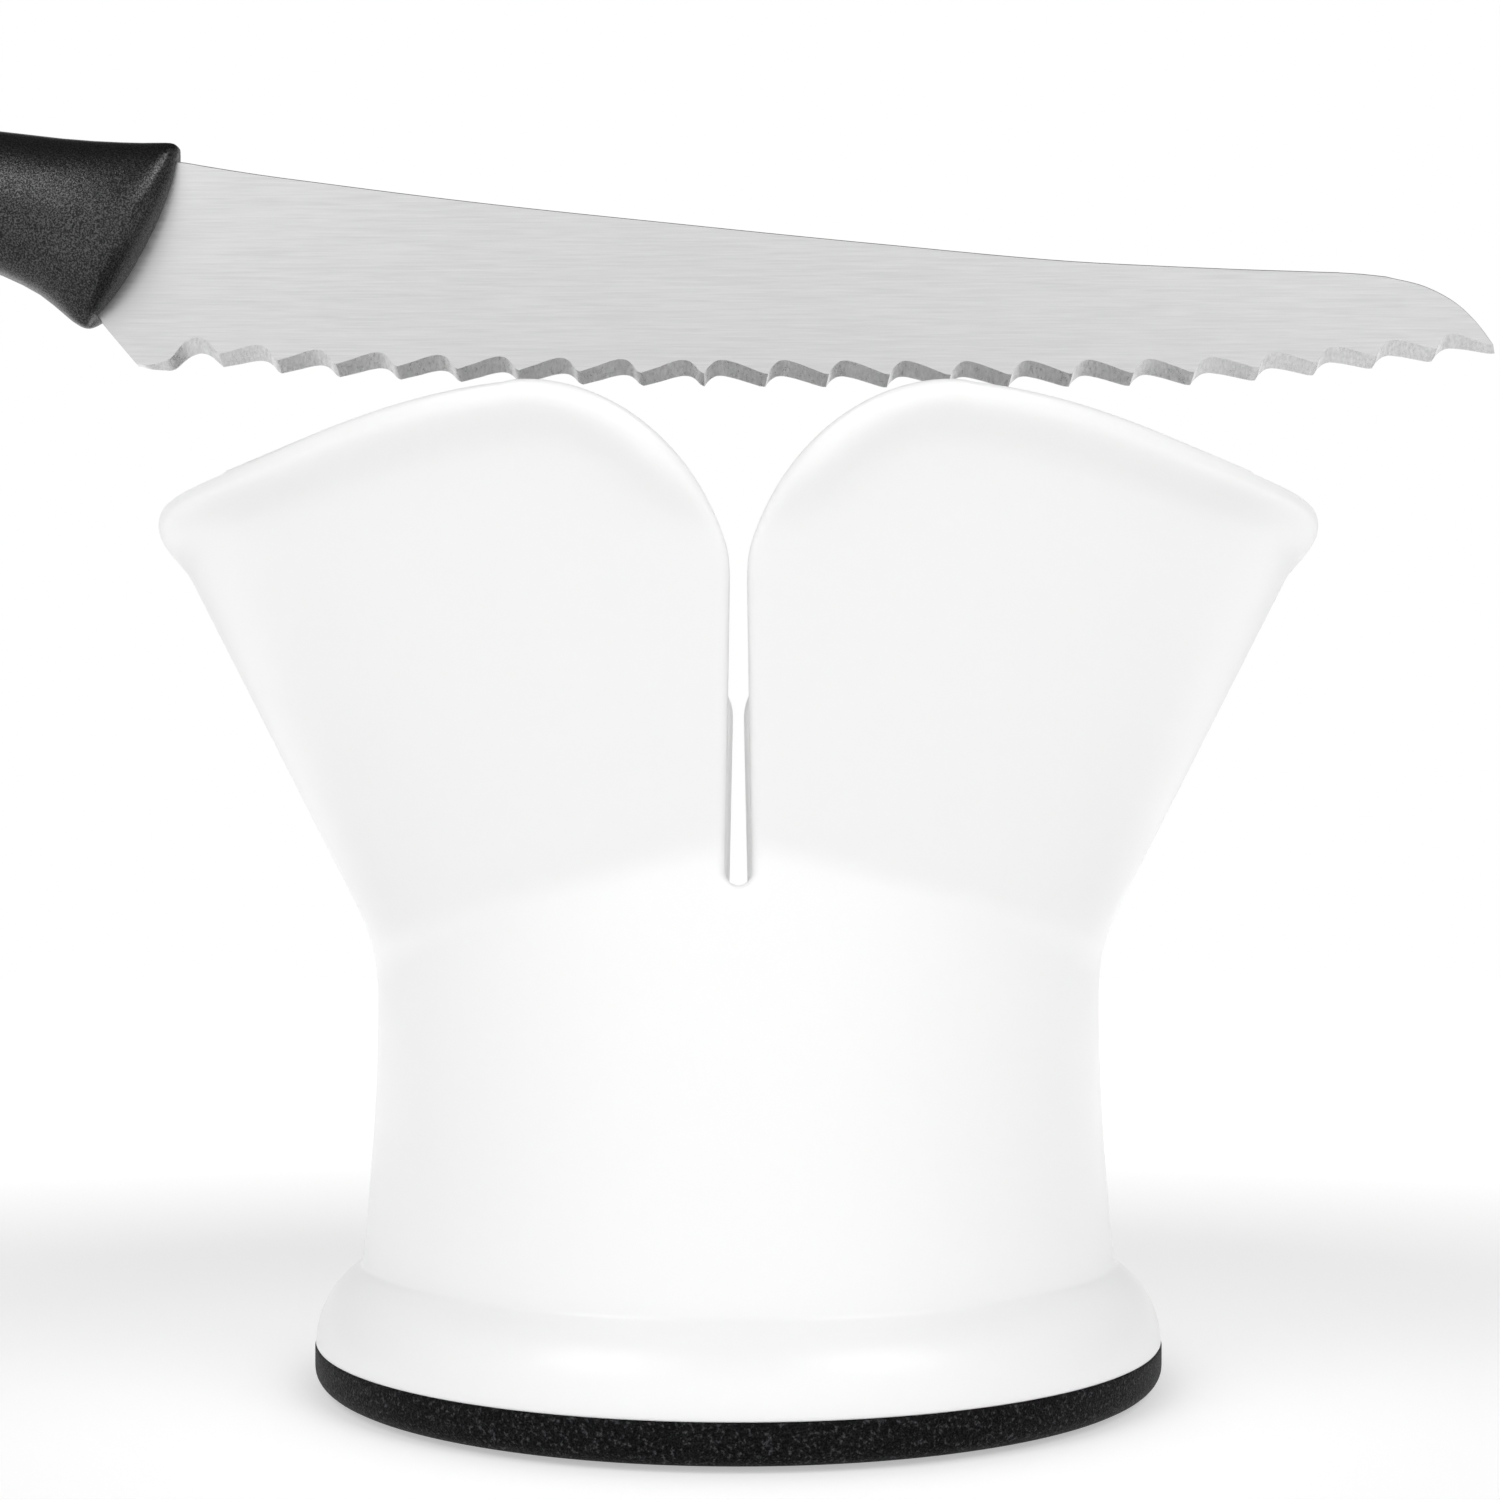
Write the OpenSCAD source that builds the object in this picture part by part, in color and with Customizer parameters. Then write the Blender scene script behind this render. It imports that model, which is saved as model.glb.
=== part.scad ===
// Bagel slicer: a flared slotted holder on a black base, with a serrated knife
// guided by its slots. Millimetres, +Z up, the origin is at the centre of the
// flat pad that the holder stands on. The knife lies along X, as it cuts.

/* [Base] */
// Radius of the black base plate
base_r = 51.7; // [45:0.1:60]
// Thickness of the black base plate
base_t = 4.75; // [3:0.05:8]
// Rounding of the base plate's lower edge
base_edge_r = 2.2; // [0.5:0.1:3]
// How far the soft pad stands out under the base plate
pad_out = 0.5; // [0.2:0.1:1.5]
// Radius of the soft pad
pad_r = 46; // [42:0.5:48]
// Depth of the pad's seat in the base plate
pad_seat = 1.5; // [0.8:0.1:2.5]

/* [Foot and waist] */
// Largest radius of the white foot
foot_r = 51.6; // [45:0.1:60]
// Radius of the foot's convex rounding
foot_round = 10; // [6:0.5:16]
// Height of the foot's widest line
foot_mid_z = 4.8; // [4:0.1:6]
// Radius and height of the crease over the foot
crease_r = 46.2; // [40:0.1:55]
crease_z = 13.75; // [10:0.05:20]
// Radius of the waist and the height where it is narrowest
waist_r = 44.3; // [38:0.1:50]
waist_z = 48; // [35:0.5:60]

/* [Flare] */
// Sideways shift of each half flare's own axis
flare_shift = 5; // [0:0.5:8]
// Radius of a half flare at its reference height
flare_r = 44.65; // [38:0.05:55]
flare_z = 62.6; // [50:0.1:75]
// Outward run of the wall for each millimetre of rise
flare_slope = 0.5; // [0.2:0.01:0.8]
// Radius of the blend from the waist into the flare
flare_blend = 30; // [10:1:60]
// Horizontal thickness of the flared wall
wall = 3.2; // [2:0.1:5]
// Height of the rim beside the slots
rim_z = 104.1; // [85:0.1:130]
// Dip of the rim in the middle of each petal
rim_dip = 3; // [0:0.1:6]
// Height of the rim beside the left and right slots
side_rim_z = 101.7; // [85:0.1:130]
// Direction of a petal's middle, from the X axis
petal_angle = 38; // [25:1:65]

/* [Slots] */
// Width of a knife slot at its upper and lower end
slot_top_w = 1.6; // [1.2:0.05:4]
slot_low_w = 2.84; // [1.2:0.02:6]
// Height of the slot's round lower end
slot_low_z = 58.1; // [45:0.1:80]
// Radius and centre height of the petals' round shoulders
mouth_r = 21; // [10:0.5:30]
mouth_z = 83.2; // [70:0.1:95]

/* [Pocket] */
// Top of the pocket's floor and the floor's thickness
floor_z = 28; // [18:0.5:40]
floor_t = 3; // [2:0.1:5]
// Radius of the round pocket
pocket_r = 41.1; // [30:0.1:45]
// Rounding between the pocket's floor and its wall
pocket_round = 6; // [2:0.5:12]

/* [Fasteners and weight] */
// Radius of the circle that the four screws lie on
screw_circle_r = 33; // [28:0.5:34]
// Shank radius and length of a screw
screw_r = 1.5; // [1:0.1:2.5]
screw_len = 13; // [8:0.5:18]
// Head radius and height of a screw
head_r = 2.8; // [2:0.1:4]
head_h = 1.8; // [1:0.1:2.5]
// Radius of a screw boss
boss_r = 4; // [3:0.1:6]
// Radius and thickness of the steel weight
weight_r = 27.5; // [15:0.5:28]
weight_t = 5; // [2:0.5:8]

/* [Knife] */
// Thickness of the blade
blade_t = 1.0; // [0.8:0.05:2]
// Height of the cutting edge above the base plate, at the heel end
edge_z = 124.25; // [100:0.05:150]
// Pitch of the teeth in the blade's middle, and depth of every tooth
tooth_pitch = 7.6; // [4:0.05:12]
tooth_depth = 1.3; // [0.5:0.05:3]
// Thickness of the handle
handle_t = 13; // [10:0.5:18]
// Where the handle's butt ends
butt_x = -186; // [-200:1:-150]

/* [Hidden] */
$fn = 96;
big = 90;
slope_angle = atan(flare_slope);
// Radius of the flare's plain wall at a height
function flare_at(z) = flare_r + flare_slope * (z - flare_z);
// Radius of the concave waist at a height
function waist_at(z) = waist_r + (crease_r - waist_r) * pow(max(0, (waist_z - z) / (waist_z - crease_z)), 2);
foot_top_angle = asin((crease_z - foot_mid_z) / foot_round);
// The flare starts just inside the waist's side, so the two surfaces cross
flare_foot_r = waist_r - flare_shift - 0.4;
flare_foot_z = flare_z + (flare_foot_r - flare_r) / flare_slope - flare_blend * tan(slope_angle / 2);
mouth_floor_z = mouth_z + 2.8;
// Stations of the grip from the guard to the butt: place, upper line, lower line
grip_x = [-106, -122, -141, -160, butt_x + 7.5];
grip_top = [30.3, 31.2, 31.6, 30.8, 29];
grip_low = [16.3, 17.2, 16.4, 14.2, 11];
shell_color = [0.95, 0.95, 0.94];
black_color = [0.07, 0.07, 0.08];
steel_color = [0.78, 0.78, 0.8];

// Solid of the foot and waist, filled to the axis
module waist_solid() {
  rotate_extrude()
    polygon(concat(
      [[0, base_t], [foot_r, base_t]],
      [for (i = [0 : 8]) let (a = i * foot_top_angle / 8)
        [foot_r - foot_round + foot_round * cos(a), foot_mid_z + foot_round * sin(a)]],
      [for (i = [1 : 7]) let (z = crease_z + i * (waist_z - crease_z) / 7) [waist_at(z), z]],
      [[waist_r, 66], [0, 66]]));
}

// Solid of one half flare round its own axis, filled to the axis
module flare_solid() {
  rotate_extrude()
    polygon(concat(
      [[0, flare_foot_z - 2], [flare_foot_r, flare_foot_z - 2]],
      [for (i = [0 : 6]) let (a = i * slope_angle / 6)
        [flare_foot_r + flare_blend * (1 - cos(a)), flare_foot_z + flare_blend * sin(a)]],
      [[flare_at(rim_z - 10.1), rim_z - 10.1],
       [flare_at(rim_z - 8) + 0.1, rim_z - 8],
       [flare_at(rim_z - 6) + 0.75, rim_z - 6],
       [flare_at(rim_z - 4.4) + 1.4, rim_z - 4.4],
       [flare_at(rim_z - 2.8) + 1.55, rim_z - 2.8],
       [flare_at(rim_z - 1.2) + 0.9, rim_z - 1.2],
       [flare_at(rim_z - 0.3) - 0.2, rim_z - 0.3],
       [flare_at(rim_z) - 1.3, rim_z],
       [0, rim_z]]));
}

// Space inside one half flare
module flare_space() {
  translate([0, 0, waist_z])
    cylinder(h = rim_z + 2 - waist_z, r1 = flare_at(waist_z) - wall, r2 = flare_at(rim_z + 2) - wall);
}

// Round pocket that takes the bread
module pocket_space() {
  rotate_extrude()
    polygon(concat(
      [[0, 66], [0, floor_z]],
      [for (i = [0 : 6]) let (a = -90 + i * 15)
        [pocket_r - pocket_round + pocket_round * cos(a), floor_z + pocket_round + pocket_round * sin(a)]],
      [[pocket_r, 66]]));
}

// Hollow of the foot under the pocket's floor
module foot_space() {
  rotate_extrude()
    polygon([[0, base_t - 1], [foot_r - 3.4, base_t - 1], [foot_r - 3.4, 8], [foot_r - 4.4, 11],
      [crease_r - 3, 14.5], [waist_at(19) - 3, 19], [waist_at(25) - 3, floor_z - floor_t], [0, floor_z - floor_t]]);
}

// Wide upper mouth of a slot, between two round shoulders, along Y
module mouth_cut() {
  difference() {
    translate([-mouth_r, -big, mouth_floor_z])
      cube([2 * mouth_r, 2 * big, 30]);
    for (s = [-1, 1])
      translate([s * mouth_r, 0, mouth_z])
        rotate([90, 0, 0])
          cylinder(h = 2 * big + 4, r = mouth_r, center = true);
  }
}

// Narrow knife slot under the mouth, along Y
module slot_cut() {
  low_r = slot_low_w / 2;
  rotate([90, 0, 0])
    linear_extrude(height = 2 * big, center = true)
      polygon([[-low_r, slot_low_z + low_r], [low_r, slot_low_z + low_r],
        [slot_top_w / 2, mouth_z + 7], [-slot_top_w / 2, mouth_z + 7]]);
  translate([0, 0, slot_low_z + low_r])
    rotate([90, 0, 0])
      cylinder(h = 2 * big, r = low_r, center = true);
}

// Shallow dip of the rim over two opposite petals
module rim_dip_cut(angle) {
  half_run = 29.5;
  dip_r = (half_run * half_run + rim_dip * rim_dip) / (2 * rim_dip);
  rotate([0, 0, angle])
    translate([0, 0, rim_z - rim_dip + dip_r])
      rotate([0, 90, 0])
        cylinder(h = 2 * big, r = dip_r, center = true, $fn = 192);
}

// Lower rim beside the left and right slots
module side_rim_cut() {
  for (s = [-1, 1])
    translate([s * 65 - 25, -34, side_rim_z])
      cube([50, 68, 10]);
}

// One screw boss with its web to the wall, before its hole
module boss() {
  translate([screw_circle_r, 0, base_t])
    cylinder(h = floor_z - floor_t - base_t + 0.5, r = boss_r);
  translate([screw_circle_r + boss_r - 1, -0.9, 12])
    cube([crease_r - 2.4 - screw_circle_r - boss_r + 1, 1.8, floor_z - floor_t - 12 + 0.5]);
}

// White shell: foot, waist, pocket and four petals in one moulding
module body_shell() {
  color(shell_color)
  translate([0, 0, pad_out])
  difference() {
    union() {
      difference() {
        union() {
          waist_solid();
          for (s = [-1, 1])
            translate([s * flare_shift, 0, 0]) flare_solid();
        }
        pocket_space();
        foot_space();
        for (s = [-1, 1])
          translate([s * flare_shift, 0, 0]) flare_space();
        for (a = [0, 90])
          rotate([0, 0, a]) {
            mouth_cut();
            slot_cut();
          }
        rim_dip_cut(petal_angle);
        rim_dip_cut(-petal_angle);
        side_rim_cut();
      }
      for (a = [45 : 90 : 315])
        rotate([0, 0, a]) boss();
    }
    for (a = [45 : 90 : 315])
      rotate([0, 0, a])
        translate([screw_circle_r, 0, base_t - 1])
          cylinder(h = screw_len + 1, r = screw_r, $fn = 32);
  }
}

// Black base plate with its rounded edge, locating rim and central peg
module base_plate() {
  color(black_color)
  translate([0, 0, pad_out])
  difference() {
    union() {
      rotate_extrude()
        polygon(concat(
          [[0, 0]],
          [for (i = [0 : 6]) let (a = -90 + i * 15)
            [base_r - base_edge_r + base_edge_r * cos(a), base_edge_r + base_edge_r * sin(a)]],
          [[base_r, base_t], [0, base_t]]));
      difference() {
        translate([0, 0, base_t - 0.5]) cylinder(h = 3.5, r = foot_r - 3.7);
        translate([0, 0, base_t - 1]) cylinder(h = 5, r = foot_r - 6);
      }
      translate([0, 0, base_t - 0.5]) cylinder(h = weight_t + 1, r = 3);
    }
    translate([0, 0, -1]) cylinder(h = pad_seat + 1, r = pad_r + 0.2);
    for (a = [45 : 90 : 315])
      rotate([0, 0, a])
        translate([screw_circle_r, 0, 0]) {
          translate([0, 0, -1]) cylinder(h = base_t + 2, r = screw_r + 0.2, $fn = 32);
          translate([0, 0, -1]) cylinder(h = pad_seat + head_h + 1.2, r = head_r + 0.3, $fn = 48);
        }
  }
}

// Soft pad in the base plate's seat, over the screw heads
module non_slip_pad() {
  color([0.12, 0.12, 0.12])
  cylinder(h = pad_out + pad_seat, r = pad_r);
}

// Steel weight on the base plate's peg
module ballast_disc() {
  color(steel_color)
  translate([0, 0, pad_out + base_t])
  difference() {
    cylinder(h = weight_t, r = weight_r);
    translate([0, 0, -1]) cylinder(h = weight_t + 2, r = 3.2);
  }
}

// Four identical countersunk screws from below
module base_screws() {
  color(steel_color)
  for (a = [45 : 90 : 315])
    rotate([0, 0, a])
      translate([screw_circle_r, 0, pad_out + pad_seat + 0.2])
        difference() {
          union() {
            cylinder(h = head_h, r = head_r, $fn = 48);
            cylinder(h = screw_len, r = screw_r, $fn = 32);
          }
          for (t = [0, 90])
            rotate([0, 0, t])
              translate([-1.6, -0.35, -1]) cube([3.2, 0.7, 1.9]);
        }
}

// Height of the line through the teeth's points, over edge_z
function point_line(x) = lookup(x, [[-64.5, 0.5], [-57, -0.3], [-50, -0.75], [-35, -1.35], [-10, -1.9],
  [30, -2.1], [56.5, -1.75], [64.5, -1.2], [79.5, 0.35], [94.65, 2.2]]);
// Shape of a tooth towards the tip and towards the heel: share of the pitch, rise
tip_tooth = [[0, 0], [0.05, 0.4], [0.1, 0.7], [0.17, 0.95], [0.26, 1.04], [0.42, 0.9], [0.7, 0.43], [0.9, 0.06]];
heel_tooth = [[0, 0], [0.1, 0.15], [0.3, 0.48], [0.52, 0.86], [0.68, 1], [0.79, 0.9], [0.87, 0.58], [0.95, 0.12]];
// Place and pitch of each tooth: first ones, those of the even middle run, last ones
heel_teeth = [[-64.45, 7.3], [-57.15, 7.3], for (k = [0 : 5]) [-49.85 + k * tooth_pitch, tooth_pitch]];
tip_teeth = [for (k = [6 : 13]) [-49.85 + k * tooth_pitch, tooth_pitch],
  [56.55, 8.1], [64.65, 7.3], [71.95, 7.35], [79.3, 7.45], [86.75, 7.9]];

// Points of one tooth from its place along the blade
function tooth_points(x, pitch, shape) =
  [for (p = shape) [x + p[0] * pitch, point_line(x + p[0] * pitch) + p[1] * tooth_depth]];
// Points of the whole cutting edge from the heel to the last tooth
tooth_line = concat(
  [[-74.1, 0.35], [-71.1, 0.05], [-70.5, 0.2], [-68.2, 1.95], [-67.3, 2.2], [-65.95, 1.8]],
  [for (t = heel_teeth) each tooth_points(t[0], t[1], heel_tooth)],
  [for (t = tip_teeth) each tooth_points(t[0], t[1], tip_tooth)]);

// Point of the rounded back of the tip, a little straighter than an ellipse
function tip_point(a) = [77 + 18.1 * pow(cos(a), 1.08), 11.9 * pow(sin(a), 1.08)];

// Outline of the blade with its tang, as seen from the front
module blade_outline(toothed) {
  translate([0, edge_z])
    polygon(concat(
      [[-75.1, 0.6]],
      toothed ? tooth_line : [[-70.85, 0.15], [-10, -1.9], [30, -2.05], [56.65, -1.65]],
      [for (i = [0 : 9]) tip_point(12.1 + i * 7.5)],
      [[77.3, 11.93], [71, 12.2], [57, 12.7], [45.2, 13.25], [18, 15.6], [-8, 18.2], [-32.3, 20.75], [-51, 23.1],
       [-69.6, 25.85], [-84, 26.5], [-150, 27.5], [-152, 22.5], [-150, 20.5], [-88, 18.5], [-79.2, 5.45]]));
}

// Plate that both the blade and its seat in the handle are cut from
module blade_plate(toothed) {
  rotate([90, 0, 0])
    linear_extrude(height = blade_t, center = true)
      blade_outline(toothed);
}

// Wedge that grinds the one-sided bevel along one straight run of the edge, and a little past its ends
module bevel_cut(from, to) {
  translate([from[0], 0, edge_z + from[1]])
    rotate([0, -atan2(to[1] - from[1], to[0] - from[0]), 0])
      translate([-3, 0, 0])
        rotate([90, 0, 90])
          linear_extrude(height = norm(to - from) + 6)
            polygon([[-blade_t, -3], [-0.15, -3], [-0.15, 0], [-blade_t / 2, 3], [-blade_t, 3]]);
}

// Serrated steel blade
module knife_blade() {
  color(steel_color)
  translate([0, 0, pad_out])
  difference() {
    blade_plate(true);
    bevel_cut([-70.85, 0.15], [-50, -0.85]);
    bevel_cut([-50, -0.85], [30, -2.1]);
    bevel_cut([30, -2.1], [56.65, -1.7]);
    bevel_cut([56.65, -1.7], [92, 1.88]);
  }
}

// A ball of the handle's side view
module ball(x, z, r) {
  translate([x, 0, edge_z + z]) sphere(r = r, $fn = 24);
}

// Upper and lower ball of the grip at one station
module grip_balls(i) {
  ball(grip_x[i], grip_top[i] - handle_t / 2, handle_t / 2);
  ball(grip_x[i], grip_low[i] + handle_t / 2, handle_t / 2);
}

// Black moulded handle, seated on the blade's tang
module knife_handle() {
  r = handle_t / 2;
  color(black_color)
  translate([0, 0, pad_out])
  difference() {
    union() {
      intersection() {
        hull() {
          ball(-73, 21.7, r);
          ball(-84, 12.6, r);
          ball(-79, 9.6, r - 1.5);
          grip_balls(0);
        }
        translate([-110.94, 0, edge_z + 34.77])
          rotate([90, 0, 0])
            cylinder(h = 30, r = 41.77, center = true, $fn = 160);
      }
      for (i = [0 : 3])
        hull() {
          grip_balls(i);
          grip_balls(i + 1);
        }
    }
    blade_plate(false);
  }
}

body_shell();
base_plate();
non_slip_pad();
ballast_disc();
base_screws();
knife_blade();
knife_handle();
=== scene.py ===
"""Looks of the bagel slicer: a milky white flared holder on a black base, with a serrated knife over it.

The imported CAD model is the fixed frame. Sizes here are in millimetres, measured from the underside of the
black base plate, and every mesh is lifted by the pad's 0.5 mm and turned to metres when it is finished.
"""

import logging
import math
from dataclasses import dataclass, field
from enum import Enum

import bmesh
import bpy
import numpy as np
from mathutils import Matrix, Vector
from mathutils.geometry import delaunay_2d_cdt

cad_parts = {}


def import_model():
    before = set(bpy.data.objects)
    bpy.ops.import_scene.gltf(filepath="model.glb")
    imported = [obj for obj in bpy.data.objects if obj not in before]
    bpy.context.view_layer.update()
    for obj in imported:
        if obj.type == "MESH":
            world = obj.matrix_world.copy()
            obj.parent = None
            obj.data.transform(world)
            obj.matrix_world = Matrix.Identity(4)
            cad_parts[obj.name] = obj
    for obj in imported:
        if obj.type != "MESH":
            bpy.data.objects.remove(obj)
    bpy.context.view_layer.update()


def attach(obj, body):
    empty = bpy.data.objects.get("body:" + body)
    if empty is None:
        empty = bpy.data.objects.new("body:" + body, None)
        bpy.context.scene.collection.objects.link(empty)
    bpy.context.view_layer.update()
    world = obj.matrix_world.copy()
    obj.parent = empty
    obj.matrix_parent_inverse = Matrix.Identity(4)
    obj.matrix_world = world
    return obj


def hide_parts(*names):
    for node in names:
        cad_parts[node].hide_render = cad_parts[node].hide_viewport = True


log = logging.getLogger("bagel_slicer")
MM = 0.001
PAD_OUT = 0.5  # how far the soft pad stands out under the base plate


class Body(Enum):
    """CAD bodies that pieces ride on."""

    HOLDER = "holder"
    KNIFE = "knife"


class Slot(Enum):
    """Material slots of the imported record."""

    SHELL = "shell"
    BASE = "base"
    PAD = "pad"
    WEIGHT = "weight"
    SCREWS = "screws"
    BLADE = "blade"
    HANDLE = "handle"


# Small tools


def linear(hex_colour: str) -> tuple[float, float, float, float]:
    """Turns an sRGB hex colour into Blender's linear RGBA.

    Args:
        hex_colour: colour such as "#f2f1ee".

    Returns:
        Linear red, green, blue and an alpha of 1.
    """
    parts = [int(hex_colour[i : i + 2], 16) / 255 for i in (1, 3, 5)]
    done = [c / 12.92 if c <= 0.04045 else ((c + 0.055) / 1.055) ** 2.4 for c in parts]
    return (done[0], done[1], done[2], 1.0)


def put(tree: bpy.types.NodeTree, kind: str, inputs: dict | None = None, **settings: object) -> bpy.types.Node:
    """Adds a node with its settings, values and links.

    Args:
        tree: node tree that gets the node.
        kind: Blender's type name of the node.
        inputs: input socket, by name or number, to a value or to the output socket that feeds it.
        **settings: attributes of the node itself.

    Returns:
        The new node.
    """
    node = tree.nodes.new(kind)
    for name, value in settings.items():
        setattr(node, name, value)
    for socket, value in (inputs or {}).items():
        if isinstance(value, bpy.types.NodeSocket):
            tree.links.new(value, node.inputs[socket])
        else:
            node.inputs[socket].default_value = value
    return node


def blank_material(name: str) -> tuple[bpy.types.Material, bpy.types.NodeTree, bpy.types.NodeSocket]:
    """Starts a material with an empty node tree.

    Args:
        name: the material's name.

    Returns:
        The material, its node tree and the piece's own Object coordinates.
    """
    material = bpy.data.materials.new(name)
    material.use_nodes = True
    tree = material.node_tree
    tree.nodes.clear()
    return material, tree, put(tree, "ShaderNodeTexCoord").outputs["Object"]


def smooth_step(x: np.ndarray | float, low: float, high: float) -> np.ndarray | float:
    """Soft step from 0 at low to 1 at high."""
    t = np.clip((np.asarray(x, float) - low) / (high - low), 0, 1)
    return t * t * (3 - 2 * t)


def soft_max(a: np.ndarray, b: np.ndarray, width: float) -> np.ndarray:
    """Larger of two values, rounded over where they are within width of each other."""
    h = np.maximum(width - np.abs(a - b), 0) / width
    return np.maximum(a, b) + h * h * width / 4


def soft_min(a: np.ndarray, b: np.ndarray, width: float) -> np.ndarray:
    """Smaller of two values, rounded over where they are within width of each other."""
    return -soft_max(-np.asarray(a, float), -np.asarray(b, float), width)


def mesh_object(name: str, points: np.ndarray, faces: list, smooth: bool = True) -> bpy.types.Object:
    """Makes a linked mesh object from points in millimetres.

    Args:
        name: piece name.
        points: rows of x, y, z in millimetres over the base plate's underside.
        faces: vertex numbers of each face, outward.
        smooth: whether the faces are shaded smooth.

    Returns:
        The object, at the origin, in metres.
    """
    mesh = bpy.data.meshes.new(name)
    placed = (np.asarray(points, float) + [0, 0, PAD_OUT]) * MM
    mesh.from_pydata(placed.tolist(), [], [list(map(int, f)) for f in faces])
    mesh.update()
    mesh.shade_smooth() if smooth else mesh.shade_flat()
    made = bpy.data.objects.new(name, mesh)
    bpy.context.scene.collection.objects.link(made)
    return made


def grid_faces(rows: int, columns: int, start: int = 0, closed: bool = False, flip: bool = False) -> list:
    """Quads of a grid of vertices that is stored row by row.

    Args:
        rows: number of rows of vertices.
        columns: number of vertices in a row.
        start: number of the grid's first vertex.
        closed: whether each row's end joins its start.
        flip: whether the faces are turned round.

    Returns:
        A list of four-vertex faces.
    """
    made = []
    last = columns if closed else columns - 1
    for i in range(rows - 1):
        for j in range(last):
            a, b = start + i * columns + j, start + i * columns + (j + 1) % columns
            face = [a, b, b + columns, a + columns]
            made.append(face[::-1] if flip else face)
    return made


def through(points: list, step: float) -> np.ndarray:
    """Places on a smooth curve through given points.

    Args:
        points: places that the curve passes, in order.
        step: distance between the places that are returned.

    Returns:
        Places from the first point to the last.
    """
    given = np.asarray(points, float)
    run = np.concatenate([[0], np.cumsum(np.linalg.norm(np.diff(given, axis=0), axis=1))])
    slope = np.gradient(given, run, axis=0)
    fine = np.linspace(0, run[-1], max(2, round(run[-1] / step)) + 1)
    k = np.clip(np.searchsorted(run, fine, "right") - 1, 0, len(run) - 2)
    h = (run[k + 1] - run[k])[:, None]
    t = (fine[:, None] - run[k][:, None]) / h
    return ((2 * t**3 - 3 * t**2 + 1) * given[k] + (t**3 - 2 * t**2 + t) * h * slope[k]
            + (3 * t**2 - 2 * t**3) * given[k + 1] + (t**3 - t**2) * h * slope[k + 1])


def close_up(made: bpy.types.Object, sharp_degrees: float) -> bpy.types.Object:
    """Welds a mesh's doubled points, turns its faces outward and marks its sharp edges.

    Args:
        made: object whose mesh is mended.
        sharp_degrees: angle between two faces from which their edge is sharp.

    Returns:
        The same object.
    """
    shape = bmesh.new()
    shape.from_mesh(made.data)
    bmesh.ops.remove_doubles(shape, verts=shape.verts, dist=2e-6)
    bmesh.ops.recalc_face_normals(shape, faces=shape.faces)
    shape.to_mesh(made.data)
    shape.free()
    made.data.shade_smooth()
    made.data.set_sharp_from_angle(angle=math.radians(sharp_degrees))
    return made


def lathe(name: str, profile: list, columns: int, closed: bool = False) -> bpy.types.Object:
    """Turns a profile round the Z axis.

    Args:
        name: piece name.
        profile: radius and height of each point, in millimetres. An open one starts and ends on the axis.
        columns: number of points in each ring.
        closed: whether the profile joins its start, as a ring's does.

    Returns:
        The closed, welded object.
    """
    turn = np.arange(columns) * 2 * math.pi / columns
    rows = list(profile) + ([profile[0]] if closed else [])
    points = np.concatenate([np.stack([r * np.cos(turn), r * np.sin(turn), np.full(columns, z)], -1)
                             for r, z in rows])
    return close_up(mesh_object(name, points, grid_faces(len(rows), columns, closed=True)), 32)


def settle(made: bpy.types.Object, body: Body, slot: Slot, *nodes: str) -> None:
    """Lets a finished piece ride on its body and stand for its CAD nodes.

    Args:
        made: the piece, at the origin.
        body: CAD body that it rides on.
        slot: not used.
        *nodes: CAD nodes that it stands for.
    """
    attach(made, body.value)
    if nodes:
        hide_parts(*nodes)
    log.info("%s: %d faces", made.name, len(made.data.polygons))


# Finishes


@dataclass(frozen=True)
class MilkyPlastic:
    """Injection-moulded polypropylene, filled white. Satin gloss, faintly milky, with soft broad highlights."""

    colour: str = "#eeeeee"
    roughness: float = 0.3
    flow_mm: float = 9.0
    skin_mm: float = 0.7

    def make(self) -> bpy.types.Material:
        """Builds the material: faint flow waves, a very fine skin and light that soaks in a little.

        Returns:
            The material.
        """
        material, tree, place = blank_material("moulded_white_polypropylene")
        flow = put(tree, "ShaderNodeTexNoise", {"Vector": place, "Scale": 1000 / self.flow_mm, "Detail": 2.0})
        skin = put(tree, "ShaderNodeTexNoise", {"Vector": place, "Scale": 1000 / self.skin_mm, "Detail": 2.0})
        both = put(tree, "ShaderNodeMath", {0: skin.outputs["Fac"], 1: 0.12, 2: flow.outputs["Fac"]},
                   operation="MULTIPLY_ADD")
        relief = put(tree, "ShaderNodeBump", {"Height": both.outputs[0], "Strength": 0.06, "Distance": 0.0004})
        shine = put(tree, "ShaderNodeMapRange", {
            "Value": flow.outputs["Fac"], "From Min": 0.3, "From Max": 0.7,
            "To Min": self.roughness - 0.02, "To Max": self.roughness + 0.03})
        shader = put(tree, "ShaderNodeBsdfPrincipled", {
            "Base Color": linear(self.colour), "Roughness": shine.outputs[0], "IOR": 1.49,
            "Subsurface Weight": 0.25, "Subsurface Radius": (1.0, 0.96, 0.93), "Subsurface Scale": 0.002,
            "Normal": relief.outputs[0]})
        put(tree, "ShaderNodeOutputMaterial", {"Surface": shader.outputs[0]})
        return material


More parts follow.
